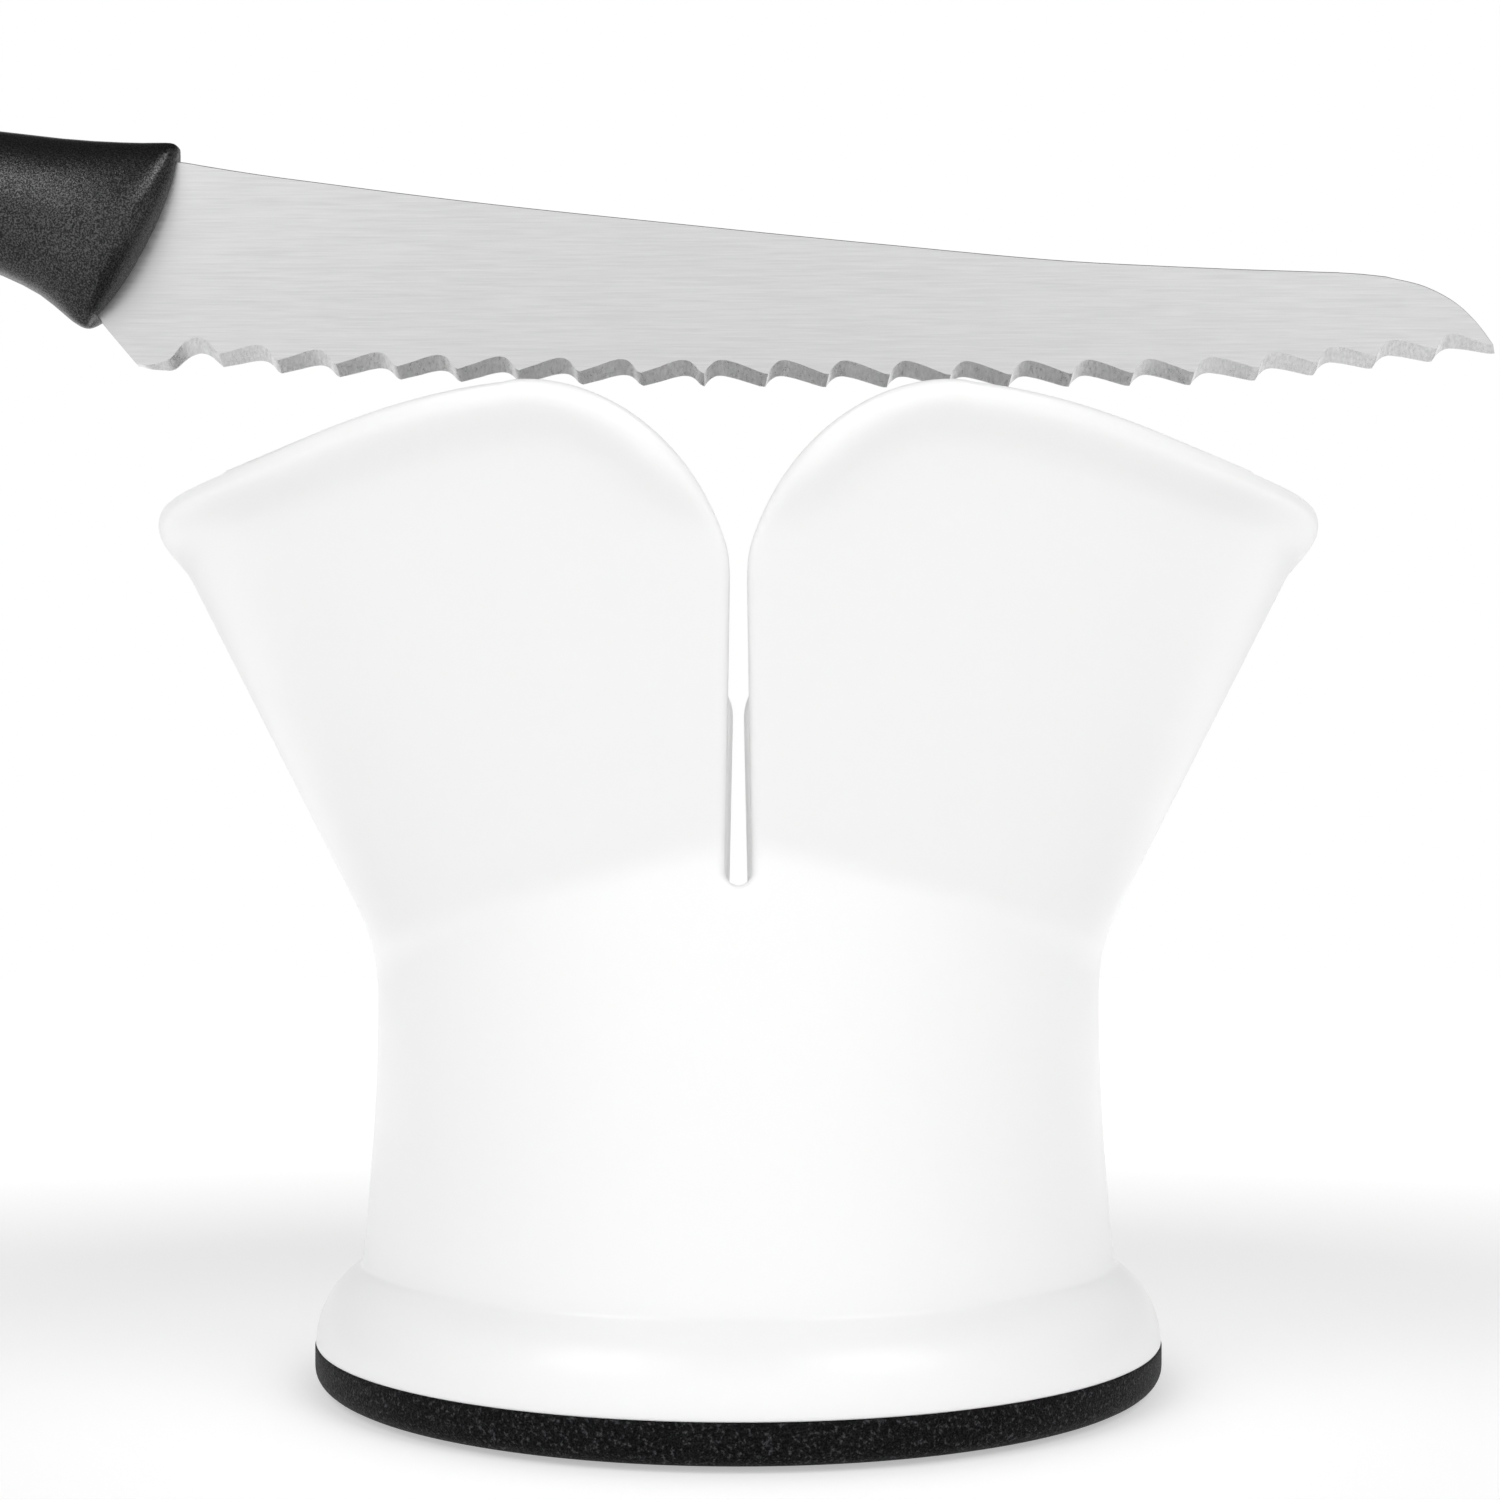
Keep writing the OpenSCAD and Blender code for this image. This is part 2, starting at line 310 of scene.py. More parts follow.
@dataclass(frozen=True)
class TexturedBlackPlastic:
    """Injection-moulded ABS with a spark-eroded grain: matt black, with a painted glint, a lighter colour on the
    grain's tips.
    """

    name: str = "spark_eroded_black_abs"
    colour: str = "#09090a"
    glint_paint_colour: str = "#4a4a4d"
    grain_mm: float = 0.45
    depth_mm: float = 0.12
    roughness: float = 0.55
    specular: float = 0.06
    glint_paint: float = 0.7

    def make(self) -> bpy.types.Material:
        """Builds the material. The real grain, about 0.2 mm, is drawn at grain_mm, so that it shows.

        Returns:
            The material.
        """
        material, tree, place = blank_material(self.name)
        grain = put(tree, "ShaderNodeTexNoise", {"Vector": place, "Scale": 1000 / self.grain_mm, "Detail": 3.0,
                                                 "Roughness": 0.65})
        fine = put(tree, "ShaderNodeTexNoise", {"Vector": place, "Scale": 2200 / self.grain_mm, "Detail": 2.0})
        height = put(tree, "ShaderNodeMath", {0: fine.outputs["Fac"], 1: 0.35, 2: grain.outputs["Fac"]},
                     operation="MULTIPLY_ADD")
        # Painted glint: the grain's tips get a lighter base colour that stands in for light catching them.
        tips = put(tree, "ShaderNodeMapRange", {
            "Value": grain.outputs["Fac"], "From Min": 0.54, "From Max": 0.7,
            "To Min": 0.0, "To Max": self.glint_paint})
        colour = put(tree, "ShaderNodeMix", {
            0: tips.outputs[0], 6: linear(self.colour), 7: linear(self.glint_paint_colour)}, data_type="RGBA")
        relief = put(tree, "ShaderNodeBump", {"Height": height.outputs[0], "Strength": 0.7,
                                              "Distance": self.depth_mm * MM})
        glint = put(tree, "ShaderNodeMapRange", {
            "Value": fine.outputs["Fac"], "From Min": 0.42, "From Max": 0.66,
            "To Min": self.specular * 0.45, "To Max": self.specular * 2.4})
        shader = put(tree, "ShaderNodeBsdfPrincipled", {
            "Base Color": colour.outputs[2], "Roughness": self.roughness, "IOR": 1.53,
            "Specular IOR Level": glint.outputs[0], "Normal": relief.outputs[0]})
        put(tree, "ShaderNodeOutputMaterial", {"Surface": shader.outputs[0]})
        return material


@dataclass(frozen=True)
class SoftRubber:
    """Moulded thermoplastic rubber. Dull dark grey, with no clear highlight."""

    colour: str = "#202022"
    roughness: float = 0.8

    def make(self) -> bpy.types.Material:
        """Builds the material with a slight dusty unevenness.

        Returns:
            The material.
        """
        material, tree, place = blank_material("moulded_soft_rubber")
        dust = put(tree, "ShaderNodeTexNoise", {"Vector": place, "Scale": 900.0, "Detail": 3.0})
        relief = put(tree, "ShaderNodeBump", {
            "Height": dust.outputs["Fac"], "Strength": 0.4, "Distance": 0.00008})
        shine = put(tree, "ShaderNodeMapRange", {"Value": dust.outputs["Fac"], "To Min": self.roughness - 0.08,
                                                 "To Max": self.roughness + 0.08})
        shader = put(tree, "ShaderNodeBsdfPrincipled", {
            "Base Color": linear(self.colour), "Roughness": shine.outputs[0], "IOR": 1.5,
            "Normal": relief.outputs[0]})
        put(tree, "ShaderNodeOutputMaterial", {"Surface": shader.outputs[0]})
        return material


@dataclass(frozen=True)
class BrushedSteel:
    """Rolled stainless steel, brushed along X: light grey, with fine streaks that stretch the highlights."""

    name: str = "brushed_stainless_steel"
    colour: str = "#c4c4c4"
    dark_colour: str = "#b8b8b9"
    roughness: float = 0.34
    streak_mm: float = 0.2
    stretch: tuple[float, float, float] = (0.03, 1.0, 1.0)
    depth_mm: float = 0.006

    def make(self) -> bpy.types.Material:
        """Builds the material: brushing is 0.05 mm wide, and drawn at streak_mm, so that it shows.

        Returns:
            The material.
        """
        material, tree, place = blank_material(self.name)
        drawn = put(tree, "ShaderNodeMapping", {"Vector": place, "Scale": self.stretch})
        streaks = put(tree, "ShaderNodeTexNoise", {"Vector": drawn.outputs[0], "Scale": 1000 / self.streak_mm,
                                                   "Detail": 3.0, "Roughness": 0.6})
        tone = put(tree, "ShaderNodeMapRange", {
            "Value": streaks.outputs["Fac"], "From Min": 0.3, "From Max": 0.7})
        colour = put(tree, "ShaderNodeMix", {
            0: tone.outputs[0], 6: linear(self.dark_colour), 7: linear(self.colour)}, data_type="RGBA")
        shine = put(tree, "ShaderNodeMapRange", {
            "Value": streaks.outputs["Fac"], "From Min": 0.3, "From Max": 0.7,
            "To Min": self.roughness - 0.05, "To Max": self.roughness + 0.06})
        relief = put(tree, "ShaderNodeBump", {"Height": streaks.outputs["Fac"], "Strength": 0.5,
                                              "Distance": self.depth_mm * MM})
        shader = put(tree, "ShaderNodeBsdfPrincipled", {
            "Base Color": colour.outputs[2], "Metallic": 1.0, "Roughness": shine.outputs[0],
            "Normal": relief.outputs[0]})
        put(tree, "ShaderNodeOutputMaterial", {"Surface": shader.outputs[0]})
        return material


# Holder


@dataclass
class HolderShell:
    """White moulding: foot, waist and pocket, and four flared petals with knife slots between them."""

    foot_r: float = 51.6
    foot_round: float = 10.0
    foot_mid_z: float = 4.8
    crease_r: float = 46.2
    crease_z: float = 13.75
    waist_r: float = 44.3
    waist_z: float = 48.0
    flare_shift: float = 5.0
    flare_r: float = 44.65
    flare_z: float = 62.6
    flare_slope: float = 0.5
    flare_blend: float = 30.0
    wall: float = 3.2
    rim_z: float = 104.1
    rim_dip: float = 3.0
    side_rim_z: float = 101.7
    petal_angle: float = 38.0
    slot_low_z: float = 58.1
    slot_low_half: float = 1.42
    slot_top_half: float = 0.8
    mouth_r: float = 21.0
    mouth_z: float = 83.2
    floor_z: float = 28.0
    floor_t: float = 3.0
    pocket_r: float = 41.1
    pocket_round: float = 6.0
    arch_softness: float = 0.7
    crease_softness: float = 1.2
    bead: float = 1.6
    columns: int = 60
    arch_row: float = 55.0  # mesh row that runs along the arch's crease
    shoulder_z: float = 86.0  # where a slot's straight side meets its round shoulder
    rounds: int = 12  # repeats of each step that closes in on a place
    finish: MilkyPlastic = field(default_factory=MilkyPlastic)

    def flare_radius(self, z: np.ndarray) -> np.ndarray:
        """Radius of a half flare about its own shifted axis.

        Args:
            z: heights.

        Returns:
            Radius at each height.
        """
        z = np.asarray(z, float)
        foot_r = self.waist_r - self.flare_shift - 0.4
        lean = math.atan(self.flare_slope)
        foot_z = (self.flare_z + (foot_r - self.flare_r) / self.flare_slope
                  - self.flare_blend * math.tan(lean / 2))
        rise = np.clip(z - foot_z, 0, self.flare_blend * math.sin(lean))
        blend = foot_r + self.flare_blend - np.sqrt(self.flare_blend**2 - rise**2)
        top = foot_z + self.flare_blend * math.sin(lean)
        return np.where(z > top, self.flare_r + self.flare_slope * (z - self.flare_z), blend)

    def waist_radius(self, z: np.ndarray) -> np.ndarray:
        """Radius of the foot and the concave waist.

        Args:
            z: heights.

        Returns:
            Radius at each height.
        """
        z = np.asarray(z, float)
        under = np.clip((self.waist_z - z) / (self.waist_z - self.crease_z), 0, None)
        waist = self.waist_r + (self.crease_r - self.waist_r) * under**2
        lift = np.clip(z - self.foot_mid_z, 0, self.foot_round)
        foot = self.foot_r - self.foot_round + np.sqrt(np.maximum(self.foot_round**2 - lift**2, 0))
        return np.where(lift > self.foot_round * 0.97, waist, soft_max(waist, foot, self.crease_softness))

    def outer(self, turn: np.ndarray, z: np.ndarray) -> np.ndarray:
        """Radius of the plain outer face, without its rounded edge and bead.

        Args:
            turn: directions, in radians from X.
            z: heights.

        Returns:
            Radius at each place.
        """
        s = self.flare_shift
        flare = s * np.abs(np.cos(turn)) + np.sqrt(self.flare_radius(z) ** 2 - (s * np.sin(turn)) ** 2)
        return soft_max(self.waist_radius(z), flare, self.arch_softness)

    def inner(self, turn: np.ndarray, z: np.ndarray) -> np.ndarray:
        """Radius of the plain inner face at a direction and a height."""
        return self.outer(turn, z) - self.wall - (self.waist_radius(z) - self.waist_r) * (np.asarray(z) < 60)

    def arch(self, turn: np.ndarray) -> np.ndarray:
        """Height of the arch-shaped crease where the flare leaves the waist.

        Args:
            turn: directions, in radians from X.

        Returns:
            Height of the crease in each direction.
        """
        need = np.hypot(self.waist_r * np.cos(turn) - self.flare_shift, self.waist_r * np.sin(turn))
        heights = np.linspace(44.1, 80, 800)
        return np.interp(need, self.flare_radius(heights), heights)

    def row_height(self, turn: np.ndarray, eta: float | np.ndarray) -> np.ndarray:
        """Height of a mesh row. Rows near arch_row follow the arch, and those far from it are level."""
        weight = smooth_step(eta, 20, 48) * (1 - smooth_step(eta, 60, 84))
        return eta + (self.arch(turn) - self.arch_row) * weight

    def surface(self, turn: np.ndarray, z: np.ndarray) -> np.ndarray:
        """Points of the plain outer face."""
        r = self.outer(turn, z)
        return np.stack([r * np.cos(turn), r * np.sin(turn), np.broadcast_to(z, r.shape)], -1)

    def normal(self, turn: np.ndarray, z: np.ndarray) -> np.ndarray:
        """Outward directions of the plain outer face.

        Args:
            turn: directions, in radians from X.
            z: heights.

        Returns:
            Unit vector at each place.
        """
        e = 0.02
        across = self.surface(turn + e / 50, z) - self.surface(turn - e / 50, z)
        up = self.surface(turn, z + e) - self.surface(turn, z - e)
        n = np.cross(across, up)
        return n / np.linalg.norm(n, axis=-1, keepdims=True)

    def half_edge(self) -> tuple[np.ndarray, np.ndarray]:
        """Edge of a petal beside a slot, from the slot's lowest point to the shoulder's top.

        Returns:
            Distances from the slot's middle, and heights.
        """
        low = self.slot_low_z + self.slot_low_half
        arc = np.linspace(-math.pi / 2, 0, 40)
        side = np.linspace(low, self.shoulder_z, 120)[1:]
        turn = np.linspace(math.asin((self.shoulder_z - self.mouth_z) / self.mouth_r), math.pi / 2, 400)[1:]
        z = np.concatenate([low + self.slot_low_half * np.sin(arc), side,
                            self.mouth_z + self.mouth_r * np.sin(turn)])
        straight = np.interp(z, [low, 90.2], [self.slot_low_half, self.slot_top_half])
        below = len(arc) + len(side)
        shoulder = np.concatenate([np.full(below, -9.0), self.mouth_r * (1 - np.cos(turn))])
        q = soft_max(straight, shoulder, 0.5)
        q[:len(arc)] = self.slot_low_half * np.cos(arc)
        return q, z

    def dip_height(self, turn: np.ndarray, z: np.ndarray) -> np.ndarray:
        """Height of the rim: a shallow dip in each petal, and lower beside the side slots than in front.

        Args:
            turn: directions, in radians from X.
            z: heights at which the distance from the middle of the petal is measured.

        Returns:
            Height of the rim at each place.
        """
        half_run = 29.5
        radius = (half_run**2 + self.rim_dip**2) / (2 * self.rim_dip)
        q = self.outer(turn, z) * np.sin(turn - math.radians(self.petal_angle))
        dip = self.rim_z - self.rim_dip + radius - np.sqrt(np.maximum(radius**2 - np.clip(q, -60, 60) ** 2, 0))
        return np.where(q < 0, soft_min(dip, np.full_like(dip, self.side_rim_z), 1.6), dip)

    def edge(self) -> tuple[np.ndarray, np.ndarray]:
        """Edge of a quarter: up one slot, over the rim and down the next slot.

        Returns:
            Directions and heights of the edge's points.
        """
        q, z = self.half_edge()
        turn = np.zeros_like(z)
        for _ in range(self.rounds):
            turn = np.arcsin(np.clip(q / self.outer(turn, z), -1, 1))
        back = np.full_like(z, math.pi / 2)
        for _ in range(self.rounds):
            back = math.pi / 2 - np.arcsin(np.clip(q / self.outer(back, z), -1, 1))
        across = np.linspace(turn[-1], back[-1], 300)[1:-1]
        turns = np.concatenate([turn, across, back[::-1]])
        heights = np.concatenate([z, np.full(len(across), self.rim_z), z[::-1]])
        low = heights < 90
        heights = np.where(low, heights, soft_min(heights, self.dip_height(turns, heights), 2.2))
        line = self.surface(turns, heights)
        run = np.concatenate([[0], np.cumsum(np.linalg.norm(np.diff(line, axis=0), axis=1))])
        total = run[-1]
        fine = np.linspace(0, total, 6000)
        height_there = np.interp(fine, run, heights)
        step = 0.3 + 0.75 * smooth_step(height_there, 60, 72)
        count = np.concatenate([[0], np.cumsum(1 / step[:-1] * np.diff(fine))])
        wanted = np.linspace(0, count[-1], int(round(count[-1])) + 1)
        places = np.interp(wanted, count, fine)
        return np.interp(places, run, turns), np.interp(places, run, heights)

    def lip_offset(self, d: np.ndarray, turn: np.ndarray, z: np.ndarray, inside: bool) -> np.ndarray:
        """How far a face stands out from its plain place near the edge: rounded edge and rolled bead.

        Args:
            d: distance from the petal's edge.
            turn: direction. The bead ends higher beside the side slots.
            z: height, which makes the bead fade out down the slots.
            inside: True for the inner face, where the value is positive into the wall.

        Returns:
            Radial offset, outward for the outer face.
        """
        side = 1 - smooth_step(turn, 0.45, 1.05)
        high = smooth_step(np.asarray(z) - 4.5 * side, 91.5, 97.0)
        reach = (1.0 if inside else 1.05) + (0.1 if inside else 2.3) * high
        depth = reach if inside else 1.05 + 1.15 * high
        part = np.clip(1 - d / reach, 0, 1)
        inset = depth * (1 - np.sqrt(1 - part**2))
        if inside:
            return inset
        bead = self.bead * high * (1 - smooth_step(d, 2.3, 5.6))
        return bead - inset

    def gap_to(self, line: np.ndarray, turn: np.ndarray, z: np.ndarray) -> np.ndarray:
        """Distance of places on the outer face from a line of points that are close together.

        Args:
            line: points along the line.
            turn: directions, in radians from X.
            z: heights.

        Returns:
            Distance of each place.
        """
        places = self.surface(turn, z)
        a, b = line[:-1], line[1:]
        along = b - a
        share = ((places[:, None] - a[None]) * along[None]).sum(-1) / (along**2).sum(-1)[None]
        nearest = a[None] + np.clip(share, 0, 1)[..., None] * along[None]
        return np.sqrt(((places[:, None] - nearest) ** 2).sum(-1)).min(1)

    def quarter(self) -> tuple[np.ndarray, list]:
        """Mesh of the quarter between the slots at +X and +Y.

        Returns:
            Points and faces.
        """
        columns = np.linspace(0, math.pi / 2, self.columns + 1)
        turns, heights = self.edge()
        n = len(turns)
        rim = self.surface(turns, heights)
        along = np.gradient(rim, axis=0)
        along[0], along[-1] = rim[1] - rim[0], rim[-1] - rim[-2]
        along[0][2] = along[-1][2] = 0
        along /= np.linalg.norm(along, axis=1, keepdims=True)
        inward = np.cross(along, self.normal(turns, heights))
        inward /= np.linalg.norm(inward, axis=1, keepdims=True)
        reach = 5.0 + 3.5 * smooth_step(heights, 84, 96)
        strip_turn, strip_z, strip_d = [], [], []
        for d in (0, 0.07, 0.2, 0.42, 0.72, 1.1, 1.6, 2.2, 2.9, 3.6, reach):
            moved = rim + inward * (np.full(n, d) if np.isscalar(d) else d)[:, None]
            t = np.arctan2(moved[:, 1], moved[:, 0])
            t[0], t[-1] = 0.0, math.pi / 2
            strip_turn.append(t)
            strip_z.append(moved[:, 2])
        for _ in range(self.rounds):  # evens out the innermost line, which bunches under the rim's corners
            for line in (strip_turn[-1], strip_z[-1]):
                line[1:-1] = (line[:-2] + 2 * line[1:-1] + line[2:]) / 4
        core_t, core_z = strip_turn.pop(), strip_z.pop()
        near_t, near_z = strip_turn[-1], strip_z[-1]
        for share in (0.2, 0.4, 0.6, 0.8, 1.0):
            strip_turn.append(near_t + (core_t - near_t) * share)
            strip_z.append(near_z + (core_z - near_z) * share)
        for t, z in zip(strip_turn, strip_z):
            strip_d.append(self.gap_to(rim, t, z))
        # Rows under the petals' edges, closer where the arch's crease runs
        etas = np.concatenate([np.arange(44, 52.6, 1.45), np.arange(52.9, 57.2, 0.45), np.arange(58, 104, 1.45)])
        bottom_eta = etas[0]
        grid_t = np.repeat(columns[None], len(etas), 0)
        grid_z = np.array([self.row_height(columns, e) for e in etas])
        scale = np.array([55.0, 1.118])

        def flat(t: np.ndarray, z: np.ndarray) -> np.ndarray:
            """Place on the unrolled wall."""
            return np.stack([t * scale[0], z * scale[1]], -1)

        core = flat(core_t, core_z)
        bottom = flat(columns, grid_z[0])
        left = grid_z[1:, 0][grid_z[1:, 0] < core_z[0] - 0.7]
        right = grid_z[1:, -1][grid_z[1:, -1] < core_z[-1] - 0.7]
        loop = np.concatenate([bottom, flat(np.full(len(right), math.pi / 2), right), core[::-1],
                               flat(np.zeros(len(left)), left[::-1])])
        candidates = flat(grid_t[1:, 1:-1].ravel(), grid_z[1:, 1:-1].ravel())
        a, b = loop, np.roll(loop, -1, 0)
        px, py = candidates[:, :1], candidates[:, 1:]
        side_rise = np.where(b[:, 1] == a[:, 1], 1e-9, b[:, 1] - a[:, 1])
        crosses = ((a[:, 1] > py) != (b[:, 1] > py)) & (
            px < (b[:, 0] - a[:, 0]) * (py - a[:, 1]) / side_rise + a[:, 0])
        inside = crosses.sum(1) % 2 == 1
        gap = np.sqrt(((candidates[:, None] - core[None]) ** 2).sum(-1)).min(1)
        kept = candidates[inside & (gap > 0.75)]
        flat_points = np.concatenate([loop, kept])
        result = delaunay_2d_cdt([Vector(p) for p in flat_points.tolist()], [],
                                 [list(range(len(loop)))], 1, 1e-6)
        triangles = [f[::-1] if self._clockwise(result[0], f) else f for f in result[2]]
        origin = [o[0] for o in result[3]]
        fill = [[origin[i] for i in f] for f in triangles]
        fill_t, fill_z = flat_points[:, 0] / scale[0], flat_points[:, 1] / scale[1]
        # Exact values on the seams
        count_bottom, count_right = len(columns), len(right)
        fill_t[:count_bottom] = columns
        fill_z[:count_bottom] = grid_z[0]
        fill_d = self.gap_to(rim, fill_t, fill_z)
        core_in_fill = [count_bottom + count_right + (n - 1 - k) for k in range(n)]
        for k in range(n):
            fill_t[core_in_fill[k]], fill_z[core_in_fill[k]] = core_t[k], core_z[k]
            fill_d[core_in_fill[k]] = strip_d[-1][k]

        points: list[np.ndarray] = []
        faces: list = []
        total = 0

        def add(new: np.ndarray) -> int:
            """Adds points to the mesh.

            Args:
                new: points to add.

            Returns:
                The first one's number.
            """
            nonlocal total
            points.append(new)
            total += len(new)
            return total - len(new)

        def at(radius: np.ndarray, t: np.ndarray, z: np.ndarray) -> np.ndarray:
            """Points at a radius, direction and height."""
            return np.stack([radius * np.cos(t), radius * np.sin(t), np.broadcast_to(z, np.shape(radius))], -1)

        def face_set(inside_face: bool) -> tuple[int, int]:
            """Adds one face of the petals' wall.

            Args:
                inside_face: True for the inner face.

            Returns:
                Numbers of its first filled and its first edge point.
            """
            base = self.inner if inside_face else self.outer
            t, z, d = fill_t, fill_z, fill_d
            first = add(at(base(t, z) + self.lip_offset(d, t, z, inside_face), t, z))
            tri = [[first + i for i in f] for f in fill]
            faces.extend([f[::-1] for f in tri] if inside_face else tri)
            rows = []
            for t, z, d in zip(strip_turn[:-1], strip_z[:-1], strip_d[:-1]):
                rows.append(at(base(t, z) + self.lip_offset(d, t, z, inside_face), t, z))
            start = add(np.concatenate(rows))
            ring = [first + i for i in core_in_fill]
            made = grid_faces(len(rows), n, start)
            for k in range(n - 1):
                i = start + (len(rows) - 1) * n + k
                made.append([i, i + 1, ring[k + 1], ring[k]])
            # Strip rows run away from the edge, so the outer face needs them turned
            faces.extend(made if inside_face else [f[::-1] for f in made])
            return first, start

        outer_first, outer_edge = face_set(False)
        inner_first, inner_edge = face_set(True)
        # Narrow flat between the two rounded edges, with one row in its middle
        out_line, in_line = points[1][:n], points[3][:n]
        middle = add((out_line + in_line) / 2)
        for k in range(n - 1):
            faces.append([outer_edge + k, outer_edge + k + 1, middle + k + 1, middle + k])
            faces.append([middle + k, middle + k + 1, inner_edge + k + 1, inner_edge + k])
        # Below the petals: waist and foot outside, then the hollow underside up to its ceiling's middle
        row_step = 1.8
        crease_rows = [18, 17, 16.2, 15.6, 15.1, 14.7, 14.35, 14.05, 13.75, 13.45, 13.15, 12.8, 12.4]
        low_etas = np.concatenate([np.arange(bottom_eta - row_step, 19, -row_step), crease_rows,
                                   np.arange(11.7, 5.2, -row_step / 2), [5.2, 4.95]])
        below = []
        for e in low_etas:
            z = self.row_height(columns, e)
            below.append(at(self.outer(columns, z), columns, z))
        ceiling = self.floor_z - self.floor_t
        profile = [(self.foot_r - 0.08, 4.81), (self.foot_r - 0.25, 4.75), (self.foot_r - 3.1, 4.75), (48.2, 5.0),
                   (48.2, 8.0), (47.6, 10.0), (46.6, 11.6), (44.6, 13.4), (43.3, 15.0)]
        profile += [(float(self.waist_radius(z)) - wall, z) for z, wall in ((19.0, 3), (24.0, 3), (24.7, 3.4))]
        profile += [(r, ceiling) for r in (40.5, 30.0, 15.0, 5.0)]
        for r, z in profile:
            below.append(at(np.full(len(columns), r), columns, np.full(len(columns), z)))
        start = add(np.concatenate(below))
        width = len(columns)
        lower = [[outer_first + j, start + j, start + j + 1, outer_first + j + 1] for j in range(width - 1)]
        lower += grid_faces(len(below), width, start, flip=True)
        pole = add(np.array([[0.0, 0.0, ceiling]]))
        last = start + (len(below) - 1) * width
        lower += [[last + j, pole, last + j + 1] for j in range(width - 1)]
        faces.extend(lower)
        # Pocket: wall, rounding and floor to the middle
        inside_rows = []
        for e in np.arange(bottom_eta - row_step, 36, -row_step):
            z = self.row_height(columns, e)
            inside_rows.append(at(self.inner(columns, z), columns, z))
        lowest = inside_rows[-1][:, 2]
        for k in range(1, 4):
            z = lowest + (34 - lowest) * k / 3
            inside_rows.append(at(np.full(width, self.pocket_r), columns, z))
        for a in np.radians(np.arange(10, 91, 10)):
            r = self.pocket_r - self.pocket_round * (1 - math.cos(a))
            z = self.floor_z + self.pocket_round * (1 - math.sin(a))
            inside_rows.append(at(np.full(width, r), columns, np.full(width, z)))
        for r in (33, 30, 26, 21, 16, 11, 6, 2.5):
            inside_rows.append(at(np.full(width, float(r)), columns, np.full(width, self.floor_z)))
        start = add(np.concatenate(inside_rows))
        faces.extend([inner_first + j + 1, start + j + 1, start + j, inner_first + j] for j in range(width - 1))
        faces.extend(grid_faces(len(inside_rows), width, start))
        pole = add(np.array([[0.0, 0.0, self.floor_z]]))
        last = start + (len(inside_rows) - 1) * width
        faces.extend([last + j + 1, pole, last + j] for j in range(width - 1))
        return np.concatenate(points), faces

    @staticmethod
    def _clockwise(points: list, face: list) -> bool:
        """Whether a flat triangle runs clockwise."""
        a, b, c = (points[i] for i in face[:3])
        return (b[0] - a[0]) * (c[1] - a[1]) - (b[1] - a[1]) * (c[0] - a[0]) < 0

    def mirror_tree(self, material: bpy.types.Material) -> bpy.types.NodeTree:
        """Geometry Nodes that mirror a quarter over both slot planes and weld the seams.

        Args:
            material: finish of the result.

        Returns:
            The tree, with the inputs Quarter and Weld Distance.
        """
        tree = bpy.data.node_groups.new("four_petals", "GeometryNodeTree")
        tree.interface.new_socket("Quarter", in_out="INPUT", socket_type="NodeSocketGeometry")
        weld = tree.interface.new_socket("Weld Distance", in_out="INPUT", socket_type="NodeSocketFloat")
        weld.default_value = 0.00001
        tree.interface.new_socket("Holder", in_out="OUTPUT", socket_type="NodeSocketGeometry")
        given = put(tree, "NodeGroupInput")
        half = self._with_mirror(tree, given.outputs["Quarter"], (-1.0, 1.0, 1.0))
        whole = self._with_mirror(tree, half, (1.0, -1.0, 1.0))
        weld_by = given.outputs["Weld Distance"]
        welded = put(tree, "GeometryNodeMergeByDistance", {"Geometry": whole, "Distance": weld_by})
        real = put(tree, "GeometryNodeRealizeInstances", {"Geometry": welded.outputs[0]})
        dressed = put(tree, "GeometryNodeSetMaterial", {"Geometry": real.outputs[0], "Material": material})
        put(tree, "NodeGroupOutput", {0: dressed.outputs[0]})
        return tree

    @staticmethod
    def _with_mirror(tree: bpy.types.NodeTree, shape: bpy.types.NodeSocket,
                     scale: tuple) -> bpy.types.NodeSocket:
        """Joins a shape with its mirror image, whose faces are turned to point outward again.

        Args:
            tree: node tree that gets the nodes.
            shape: output socket of the shape.
            scale: scale that mirrors it.

        Returns:
            Output socket of both together.
        """
        image = put(tree, "GeometryNodeTransform", {"Geometry": shape, "Scale": scale})
        turned = put(tree, "GeometryNodeFlipFaces", {"Mesh": image.outputs[0]})
        joined = put(tree, "GeometryNodeJoinGeometry")
        tree.links.new(turned.outputs[0], joined.inputs[0])
        tree.links.new(shape, joined.inputs[0])
        return joined.outputs[0]

    def build(self) -> bpy.types.Material:
        """Makes the shell and lets it stand for the CAD shell.

        Returns:
            The shell's material, which its bosses have too.
        """
        material = self.finish.make()
        points, faces = self.quarter()
        made = mesh_object("holder_shell", points, faces)
        baked = bake_nodes(made, self.mirror_tree(material), {"Weld Distance": 0.00001})
        baked.data.shade_smooth()
        settle(baked, Body.HOLDER, Slot.SHELL, "body_shell")
        return material


def bake_nodes(made: bpy.types.Object, tree: bpy.types.NodeTree, values: dict) -> bpy.types.Object:
    """Runs a Geometry Nodes tree on an object and keeps its result as the object's plain mesh.

    Args:
        made: object that the tree works on.
        tree: the Geometry Nodes tree.
        values: input name to value.

    Returns:
        The same object with its new mesh and no modifier.
    """
    modifier = made.modifiers.new(tree.name, "NODES")
    modifier.node_group = tree
    for item in tree.interface.items_tree:
        if item.item_type == "SOCKET" and item.in_out == "INPUT" and item.name in values:
            modifier[item.identifier] = values[item.name]
    return keep_result(made)


